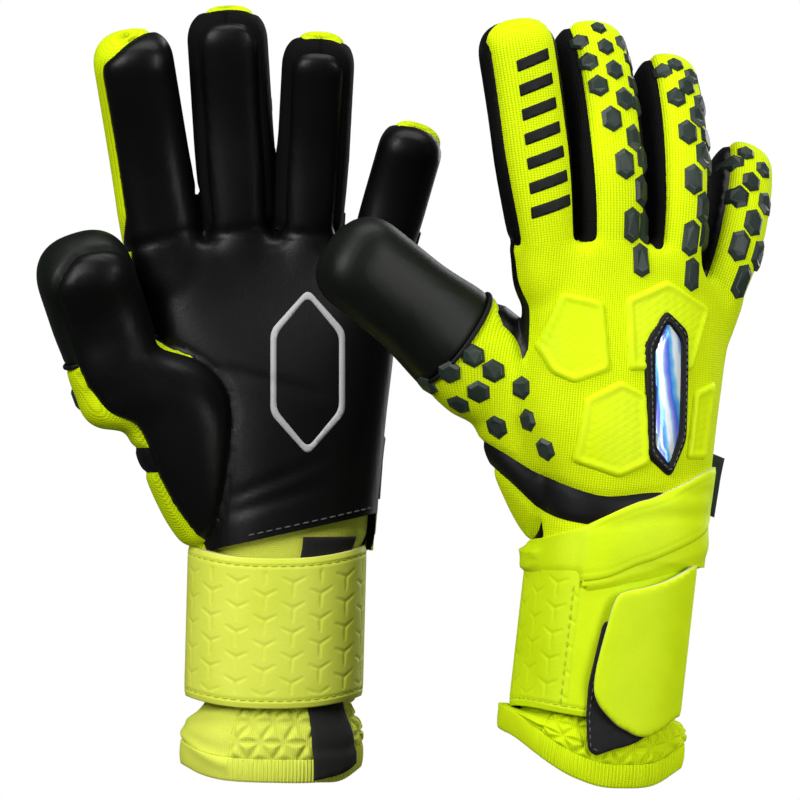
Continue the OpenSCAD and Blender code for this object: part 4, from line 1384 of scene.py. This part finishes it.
def dress_studs(glove, skin):
    add(glove, "hand_studs", joined([hand_gem(glove, p) for p in HAND_STUDS]), "stud_rubber",
        nodes=["hand_studs"], flat=True)
    for i in STUDDED:
        on, gems = onto_finger(skin, i), []
        for place in FINGER_STUDS[i]:
            t = np.clip(place[1] / FINGER_LEN[i], 0, 1)
            width, length = (curve(t, FINGER_STUD_T, sizes) for sizes in (FINGER_STUD_W, FINGER_STUD_L))
            gems.append(finger_gem(on, place, width, length))
        body = FINGERS[i]
        name = body + "_studs"
        add(glove, name, joined(gems), "stud_rubber", body, [name], bend_of(glove, body), flat=True)


def dress_back(glove, skin):
    """Pads, badge, studs and print on the back."""
    onto = onto_flat(skin, BACK_FROM)
    parts = [patch(rounded(outline, 2), onto, pad_height, 1.0)[:2] for outline in PAD_OUTLINES]
    add(glove, "backhand_pads", joined(parts), "neon_foam", nodes=["backhand_pads"])
    dress_badge(glove, onto)
    dress_studs(glove, skin)
    # A row of slanted bars down the index finger's back
    on, bars = onto_finger(skin, 0), []
    for k in range(BARS):
        s, half = BAR_FROM + k * BAR_STEP, mix(*BAR_HALF, k / (BARS - 1))
        bar = np.array([(-half, s - 2.2), (half, s + 1.2), (half, s + 5.6), (-half, s + 2.2)])
        bars.append(patch(rounded(bar, 0.6), on, lambda p, d: 0.12 + smooth(0, 0.4, d) * 0.1, 1.2, 0.3)[:2])
    add(glove, "index_print", joined(bars), "back_print", "index", (), bend_of(glove, "index"))


def dress_palm(glove, skin):
    """Print and stitches on the palm."""
    onto = onto_flat(skin, PALM_FROM)
    outer = rounded(PALM_PRINT_AT + HEXAGON * PALM_PRINT_SIZE, 3)
    inner = rounded(PALM_PRINT_AT + HEXAGON * PALM_PRINT_SIZE * PALM_PRINT_HOLE, 3)
    line = patch(outer, onto, lambda p, d: 0.1 + smooth(0, 0.5, d) * 0.08, 1.1, 0.3, inner)
    add(glove, "palm_print", line, "palm_print")
    x = np.linspace(*PALM_SEAM_X, 60)
    p, n = onto(np.stack([x, palm_edge(x) + PALM_SEAM_UP], 1))
    row = stitches(p + n * 0.1, n, length=2.4, gap=1.2, radius=0.3)
    add(glove, "palm_stitches", row, "thread_grey")


def dress_welt(glove):
    """The raised welt along the lower end of the thumb cap. Its ends dive into the seams."""
    turn = np.linspace(*WELT_TURN[glove.side], 60)
    s = np.full(len(turn), CAP_FROM)
    w, d = glove.thumb.half(s)
    u, q = section(np.radians(turn), w, d)
    path = settle(glove.field, glove.thumb.point(s, u, -q), 6)
    from_end = np.minimum(turn - turn[0], turn[-1] - turn)
    lift = mix(WELT_DIVE, WELT_RISE, smooth(0, WELT_END, from_end))
    path = path + gradient(glove.field, path) * lift[:, None]
    add(glove, "thumb_welt", tube(path, WELT_R, 10), "black_band", "thumb", (), bend_of(glove, "thumb"))


# The label: heights of its ends in the hand frame, rows between them, how far it turns to the back, how much
# it droops, and its folded section: out of the seam and off its middle
LABEL_Z, LABEL_ROWS = (15, 38), 9
LABEL_TURN = {"left": 84, "right": 30}
LABEL_DROOP = -0.3
LABEL_FACE = ((-1, 0.6), (3, 0.65), (6.2, 0.7), (7.4, 0.5))
LABEL_FOLD = (*LABEL_FACE, (7.8, 0), *[(a, -b) for a, b in reversed(LABEL_FACE)])


def dress_label(glove, skin):
    """A folded strip that stands out of the side seam."""
    turn = math.radians(LABEL_TURN[glove.side])
    out = np.array([math.cos(turn), -math.sin(turn), LABEL_DROOP])
    face = np.array([math.sin(turn), math.cos(turn), 0])
    rows = []
    for z in np.linspace(*LABEL_Z, LABEL_ROWS):
        seam = skin.hit((90, 0.5, z), (-1, 0, 0))
        rows += [seam + out * a + face * b for a, b in LABEL_FOLD]
    mesh = np.array(rows), capped_faces(LABEL_ROWS, len(LABEL_FOLD))
    add(glove, "side_label", mesh, "label_weave", nodes=["side_label"])


# Cuff and strap, in the cuff's frame

WRIST_POWER = 2 / SECTION
# Outlines on the cuff: angle round it in degrees, height in mm
TAB_EDGE = ((335, 88), (314, 87), (282, 80.5), (260, 76.5), (257, 72), (252, 55), (250, 46), (250.5, 39),
            (255, 34), (266.5, 26.6), (274, 22.4), (281, 21.4), (292, 23.8), (305, 28), (335, 31))
LOOP_EDGE = ((310, 66), (252, 66), (249, 54), (246, 42), (247, 30), (251, 17), (257, 14.5), (278, 19.5),
             (310, 31))
LOOP_SEAM = ((250, 44), (249.5, 30), (253, 18), (258, 16.5))
HOOK_EDGE = ((298, 35), (298, 63), (260, 63), (260, 35))
WEB_EDGE = ((68, 0.8), (70, 31), (80, 89), (81, 95), (37, 95), (35, 89), (33, 31), (31, 5))
# How far the sleeve's upper end lies inside the hand, the heights between which it opens out, and its top
SLEEVE_INSET, SLEEVE_OPENS, SLEEVE_TOP = 2.2, (82, 97), 107
# Thickness of the tab and of the fastener's halves, and the bevel of a flat piece's edge
TAB_T, FASTENER_T, BEVEL = 2.3, 0.7, 0.4
# The smooth panel of the cuff on the thumb side, between two seams, and the strap's end on the back
PLAIN_PANEL = (112, 215)
STRAP_END = 229
# The strap's upper turn and the one under it: angles and heights of their edges, where the upper turn starts
# on each glove, and their thickness
WRAP_TOP = ((140, 165, 190, 222, 275, 325, 346), (93, 96, 98, 101.6, 113.2, 122.4, 124))
WRAP_LOW = ((140, 190, 229, 258, 271, 325, 346), (82, 80, 81, 84, 87.8, 99, 103))
WRAP_START = {"left": 184, "right": 140}
WRAP_T = 1.6
# Smoothing of the strap's turns: rounds, and share of each round
WRAP_ROUNDS, WRAP_RELAX = 14, 0.8
# How far outside the wrist rays onto the hand start
WRIST_FROM = 120
UNDER_TOP = ((232, 258, 271, 325, 346), (84, 87, 91, 103, 107))
UNDER_LOW = ((232, 346), (74, 82))


def section(phi, half_x, half_y):
    """Points of the wrist's rounded section at angles phi."""
    c, s = np.cos(phi), np.sin(phi)
    return np.sign(c) * np.abs(c) ** WRIST_POWER * half_x, np.sign(s) * np.abs(s) ** WRIST_POWER * half_y


def lean_at(glove, z):
    """Sideways place of the cuff's middle at a height."""
    return mix(glove.fit["hem"], glove.shift, z / CUFF_H)


def cuff_at(glove, phi, z, grow=0.0):
    """Points of the cuff: angles phi in degrees, heights z, grown outward. It opens out below the strap."""
    phi, z, grow = np.broadcast_arrays(np.radians(phi), z, grow)
    share = smooth(FLARE_Z - 10, STRAP_Z[0] + 2, z)
    x, y = section(phi, *[mix(CUFF_FOOT[k], CUFF_GRIP[k], share) / 2 + grow for k in (0, 1)])
    seen = (phi if glove.side == "right" else -phi) + glove.yaw
    rise = curve(np.cos(seen), HEM_ACROSS, HEM_RISE[glove.side])
    rise = mix(rise, np.maximum(rise, glove.fit["far"]), smooth(-0.1, 0.4, np.sin(seen)))
    fade = np.clip((STRAP_Z[0] - z) / (STRAP_Z[0] - HEM_H), 0, 1)
    return np.stack([x + lean_at(glove, z) + glove.fit["skirt"] * (1 - share), y, z + rise * fade], -1)


def band_at(glove, phi, z, grow=0.0):
    """Points round the wrist: the cuff's section where the strap grips it, at every height."""
    phi, z, grow = np.broadcast_arrays(np.radians(phi), z, grow)
    x, y = section(phi, CUFF_GRIP[0] / 2 + grow + glove.fit["strap"], CUFF_GRIP[1] / 2 + grow)
    return np.stack([x + lean_at(glove, z) + glove.fit["aside"], y, z + 0 * x], -1)


def sleeve_at(glove, phi, z, grow=0.0):
    """The sleeve: the cuff's section, opening out into the hand's above the strap."""
    low = cuff_at(glove, phi, z, grow)
    phi, z, grow = np.broadcast_arrays(np.radians(phi), z, grow)
    high_z = z - CUFF_H
    left, right, depth = glove.hand_section(high_z)
    x, y = section(phi, (right - left) / 2 - SLEEVE_INSET + grow, depth - SLEEVE_INSET + grow)
    hand = np.stack([x + (left + right) / 2, y, high_z], -1)
    return mix(low, glove.to_cuff(hand).reshape(low.shape), smooth(*SLEEVE_OPENS, z)[..., None])


def outward(at, glove, phi, z, grow):
    """Points of a section, and the outward way there."""
    p = at(glove, phi, z, grow)
    return p, unit(at(glove, phi, z, grow + 1) - p)


def quilt(a, z, pitch=9.0):
    """Puffed triangles between three families of sewn lines."""
    high = pitch * math.sqrt(3) / 2
    lines = [z / high]
    for t in (60, -60):
        lines.append((a * math.sin(math.radians(t)) + z * math.cos(math.radians(t))) / high)
    d = np.min([np.abs(c - np.round(c)) for c in lines], axis=0) * high
    return smooth(0, 1.9, d) * 1.3


def tripods(a, z, across=9.3, up=9.7):
    """Columns of sunk three-armed marks, every second column shifted by half a step."""
    best = np.full(a.shape, 1e9)
    for dc in (-1, 0, 1):
        column = np.round(a / across) + dc
        shift = (column % 2) * up / 2
        middle = np.round((z - shift) / up) * up + shift
        for dr in (-up, 0, up):
            dx, dz = a - column * across, z - middle - dr
            for arm, length in ((30, 4.2), (150, 4.2), (270, 5.0)):
                ux, uz = math.cos(math.radians(arm)), math.sin(math.radians(arm))
                t = np.clip(dx * ux + dz * uz, 0, length)
                best = np.minimum(best, np.hypot(dx - t * ux, dz - t * uz) + 0.08 * t)
    return 1 - smooth(0.2, 0.95, best)


def around(at, glove, z, n):
    """Angles round the cuff that lie an even distance apart, and that distance run up in mm."""
    phi = np.linspace(0, 360, 1441)
    p = at(glove, phi, z)
    run = np.concatenate([[0], np.cumsum(np.linalg.norm(np.diff(p, axis=0), axis=1))])
    even = np.arange(n) / n * run[-1]
    return np.interp(even, run, phi), even


def ring_piece(glove, name, slot, at, phi, z, outer, inner, run, rim_slot=None):
    """A closed band. `at` gives points for angles and heights, outer and inner the lift of its faces."""
    P, Z = np.meshgrid(phi, z)
    top, bottom = (at(glove, P, Z, lift).reshape(-1, 3) for lift in (outer, inner))
    points, faces, rim = closed(top, bottom, grid_faces(len(z), len(phi), wrap=True))
    place = np.stack([np.broadcast_to(run, P.shape), Z], -1).reshape(-1, 2)
    add(glove, name, (points, faces), slot, nodes=[name], space="cuff", rim=rim, rim_slot=rim_slot,
        uv=np.concatenate([place, place]))


def panel_share(phi):
    """1 on the smooth panel of the cuff, 0 elsewhere."""
    return smooth(-2, 2, phi - PLAIN_PANEL[0]) * smooth(-2, 2, PLAIN_PANEL[1] - phi)


def cuff_folds(phi, z):
    """Soft waves round the cuff, and rolled folds low on its smooth panel."""
    wave = 0.5 * np.sin(np.radians(phi) * 5 + 1) * np.sin(np.radians(phi) * 2)
    for height, slope in ((13, 0.10), (21, -0.12)):
        wave = wave + panel_share(phi) * 1.1 * np.exp(-((z - height - slope * (phi - 180)) / 2.6) ** 2)
    return wave


def dress_cuff(glove):
    """Sleeve and hem: quilted below the strap, with a smooth panel between two seams on the thumb side."""
    n = detail(140, 300)
    phi, run = around(cuff_at, glove, 20, n)
    z = np.concatenate([np.linspace(HEM_H, STRAP_Z[0] + 2, 36), np.linspace(STRAP_Z[0] + 6, 84, 8),
                        np.linspace(86, SLEEVE_TOP, 16)])
    A, Z = np.meshgrid(run, z)
    P = np.broadcast_to(phi, Z.shape)
    low = 1 - smooth(STRAP_Z[0] - 2, STRAP_Z[0] + 1, Z)
    lift = quilt(A, Z) * low * (1 - panel_share(P)) * smooth(HEM_H - 1, HEM_H + 2, Z)
    for seam in PLAIN_PANEL:
        lift = lift - 1.2 * np.exp(-((P - seam) / 1.3) ** 2) * low
    lift = lift + cuff_folds(P, Z) * low - 0.7
    ring_piece(glove, "cuff_sleeve", "neon_cuff", sleeve_at, phi, z, lift, -2.4, run)
    phi, run = around(cuff_at, glove, 2, n * 2)
    z = np.linspace(0, HEM_H, 12)
    A, Z = np.meshgrid(run, z)
    P = np.broadcast_to(phi, Z.shape)
    ribs = 0.28 * np.cos(A * math.tau / (run[-1] / 150)) * (1 - panel_share(P))
    roll = 0.7 * np.sin(np.pi * np.clip(Z / HEM_H, 0.02, 0.98)) ** 0.5
    lift = roll + ribs + cuff_folds(P, Z) - 0.3
    ring_piece(glove, "cuff_hem", "neon_cuff", cuff_at, phi, z, lift, -2.6, run)


def strap_bow(phi):
    """The strap's edges hang lower in front and behind than at the sides."""
    return 2.2 * np.cos(2 * np.radians(phi))


def strap_step(phi):
    """1 on the part of the back where the strap's end lies one layer lower."""
    return smooth(STRAP_END, STRAP_END + 2.5, phi) * (1 - smooth(338, 342, phi))


def strap_at(glove, phi, z, grow=0.0):
    return band_at(glove, phi, z + strap_bow(phi), grow)


def dress_strap(glove):
    """The embossed band, with rows of stitches along its edges and up the end that lies on its back."""
    phi, run = around(band_at, glove, 60, detail(180, 420))
    z = np.linspace(*STRAP_Z, detail(40, 100))
    A, Z = np.meshgrid(run, z)
    step = np.broadcast_to(strap_step(phi), Z.shape)
    edge = np.minimum(Z - STRAP_Z[0], STRAP_Z[1] - Z)
    marks = tripods(A, Z - 60) * smooth(4.5, 6, edge) * (1 - step)
    seam = np.exp(-((edge - 3) / 0.5) ** 2)
    puff = 4.7 + 0.5 * smooth(0, 2.5, edge) - 0.4 * seam - 0.3 * marks - 0.8 * step
    ring_piece(glove, "wrist_strap", "neon_strap", strap_at, phi, z, puff, 2.0, run, "cut_edge")
    loop = np.concatenate([phi, phi[:1]])
    rows = [(loop, STRAP_Z[0] + 3 + 0 * loop), (loop, STRAP_Z[1] - 3 + 0 * loop)]
    up = np.linspace(STRAP_Z[0] + 3, STRAP_Z[1] - 6, 60)
    rows.append((STRAP_END - 4 + 0 * up, up))
    for k, (angle, height) in enumerate(rows):
        lift = 4.8 - 0.8 * strap_step(angle) + (0.35 if k == 2 else 0)
        p, out = outward(strap_at, glove, angle, height, lift)
        row = stitches(p, out, length=2.6, gap=1.0, radius=0.25)
        add(glove, f"strap_stitches_{k}", row, "thread_neon", space="cuff")


def cuff_slab(glove, name, slot, edge, grow, thick, body, step, corner, rim_slot=None):
    """A flat piece round the wrist from an outline of angles and heights."""
    def onto(places):
        return outward(band_at, glove, *places.T, grow(*places.T))

    def height(places, d):
        return thick - BEVEL + BEVEL * smooth(0, 1.6, d)
    points, faces, rim = patch(rounded(np.array(edge, float), corner), onto, height, step, sink=0.0)
    add(glove, name, (points, faces), slot, body, [name], space="cuff", rim=rim, rim_slot=rim_slot)


def tab_grow(angle, z):
    """The tab lies on the patches, and comes out of the strap at its root."""
    return mix(6.9, 3.4, smooth(314, 334, angle))


def hook_grow(angle, z):
    """The hook patch lies under the tab."""
    return 6.0 + 0 * z


def loop_grow(angle, z):
    """The loop patch lies on the strap, and goes out with the cuff below it."""
    return mix(6.3, 5.1, smooth(20, 29, z))


def dress_tab(glove):
    """The tab, and the hook and loop patches it closes with."""
    cuff_slab(glove, "strap_tab", "neon_strap", TAB_EDGE, tab_grow, TAB_T, "tab", step=1.4, corner=4,
              rim_slot="cut_edge")
    cuff_slab(glove, "hook_patch", "fastener", HOOK_EDGE, hook_grow, FASTENER_T, "tab", step=2.0, corner=3)
    cuff_slab(glove, "loop_patch", "fastener", LOOP_EDGE, loop_grow, FASTENER_T, "hand", step=1.6, corner=3)
    angle, z = resample(np.array(LOOP_SEAM), 1.0, wrap=False).T
    grow = loop_grow(angle, z) + FASTENER_T
    p = band_at(glove, angle, z, grow)
    out = band_at(glove, angle, z, grow + 1) - p
    row = stitches(p, out, length=1.6, gap=1.4, radius=0.25)
    add(glove, "loop_stitches", row, "thread_grey", space="cuff")


def dress_webbing(glove):
    """The pull webbing, which runs under the strap and over the hem."""
    def onto(places):
        p, n = outward(sleeve_at, glove, *places.T, 0.5)
        over_hem = (1 - smooth(9, 13, places[:, 1])) * 1.2
        return p + n * over_hem[:, None], n

    def height(places, d):
        return 0.9 + 0.3 * smooth(0, 0.8, d)
    web = patch(np.array(WEB_EDGE, float), onto, height, 1.5, sink=0)
    add(glove, "pull_webbing", web, "black_webbing", nodes=["pull_webbing"], space="cuff")


def wrist_at(glove, skin, phi, z):
    """Points over the wrist and the outward way there: the band's face below, the hand's skin above."""
    axis = np.stack([lean_at(glove, z), 0 * z, z], -1)
    out = band_at(glove, phi, z, 5.0) - axis
    reach = np.linalg.norm(out, axis=-1)
    out = out / reach[..., None]
    flat_axis, flat_out = axis.reshape(-1, 3), out.reshape(-1, 3)
    start, aim = glove.from_cuff(flat_axis + flat_out * WRIST_FROM), glove.from_cuff(flat_axis)
    hand = np.zeros(reach.size)
    for k, (a, b) in enumerate(zip(start, aim)):
        found = skin.hit(a, unit(b - a))
        if found is not None and z.ravel()[k] > STRAP_Z[1] - 5:
            hand[k] = np.linalg.norm(found - b) + 0.5
    # Rays that meet the ball of the thumb are held back
    room = np.where(phi < 200, mix(1.5, 6, smooth(88, 104, z)), 12)
    hand = np.minimum(hand.reshape(reach.shape), reach + room)
    reach = np.where(hand > 0, mix(np.maximum(reach, hand), hand, smooth(90, 100, z)), reach)
    for _ in range(WRAP_ROUNDS):
        inner = (reach[1:-1, :-2] + reach[1:-1, 2:] + reach[:-2, 1:-1] + reach[2:, 1:-1]) / 4
        reach[1:-1, 1:-1] = np.maximum(mix(reach[1:-1, 1:-1], inner, WRAP_RELAX), hand[1:-1, 1:-1])
    return axis + out * reach[..., None], out


def wrap_piece(glove, skin, name, low_edge, top_edge, lift):
    """A turn of the strap between two edges. `lift` gives its height over the wrist."""
    first = max(top_edge[0][0], WRAP_START[glove.side])
    phi = np.linspace(first, top_edge[0][-1], detail(50, 120))
    P, T = np.meshgrid(phi, np.linspace(0, 1, detail(12, 28)))
    low, top = curve(P, *low_edge), curve(P, *top_edge)
    z = mix(low, top, T)
    base, out = wrist_at(glove, skin, P, z)
    edge = np.minimum(np.minimum(T, 1 - T) * (top - low), np.minimum(P - phi[0], phi[-1] - P) * 0.55)
    up = lift(P, z, edge, T)
    upper, under = ((base + out * (up - sink)[..., None]).reshape(-1, 3) for sink in (0, WRAP_T))
    points, faces, rim = closed(upper, under, grid_faces(*P.shape))
    add(glove, name, (points, faces), "neon_strap", nodes=["wrist_strap"], space="cuff", rim=rim,
        rim_slot="cut_edge")


def dress_wrap(glove, skin):
    """The strap's upper turns: out of the band, across the back of the wrist, up onto the hand."""
    def upper(phi, z, edge, t):
        over = 0.9 + 0.6 * smooth(0, 2, edge) - 0.3 * np.exp(-((edge - 3) / 0.5) ** 2)
        flush = mix(-1.2, 0.7, smooth(80, 88, z)) - 2 * (1 - smooth(0, 14, phi - WRAP_START[glove.side]))
        return mix(flush, over, smooth(STRAP_END - 5, STRAP_END + 6, phi))

    def under(phi, z, edge, t):
        return mix(-2.2, 0.8, smooth(0, 0.6, t)) - 1.5 * (1 - smooth(0, 3, edge)) * (t < 0.5)
    wrap_piece(glove, skin, "strap_upper_turn", WRAP_LOW, WRAP_TOP, upper)
    wrap_piece(glove, skin, "strap_under_turn", UNDER_LOW, UNDER_TOP, under)


PAD_OUTLINES = [back_outline(p) for p in PAD_PIXELS]
BADGE_OUTLINE = back_outline(BADGE_PIXELS)
HAND_STUDS = np.array([sight(SKINS["right"], *p) for p in HAND_STUD_PIXELS])
FINGER_STUDS = {i: finger_stud_places(i) for i in STUDDED}
for side, g in GLOVES.items():
    dress_back(g, SKINS[side])
    dress_palm(g, SKINS[side])
    dress_welt(g)
    dress_label(g, SKINS[side])
    dress_cuff(g)
    dress_strap(g)
    dress_tab(g)
    dress_webbing(g)
    dress_wrap(g, SKINS[side])
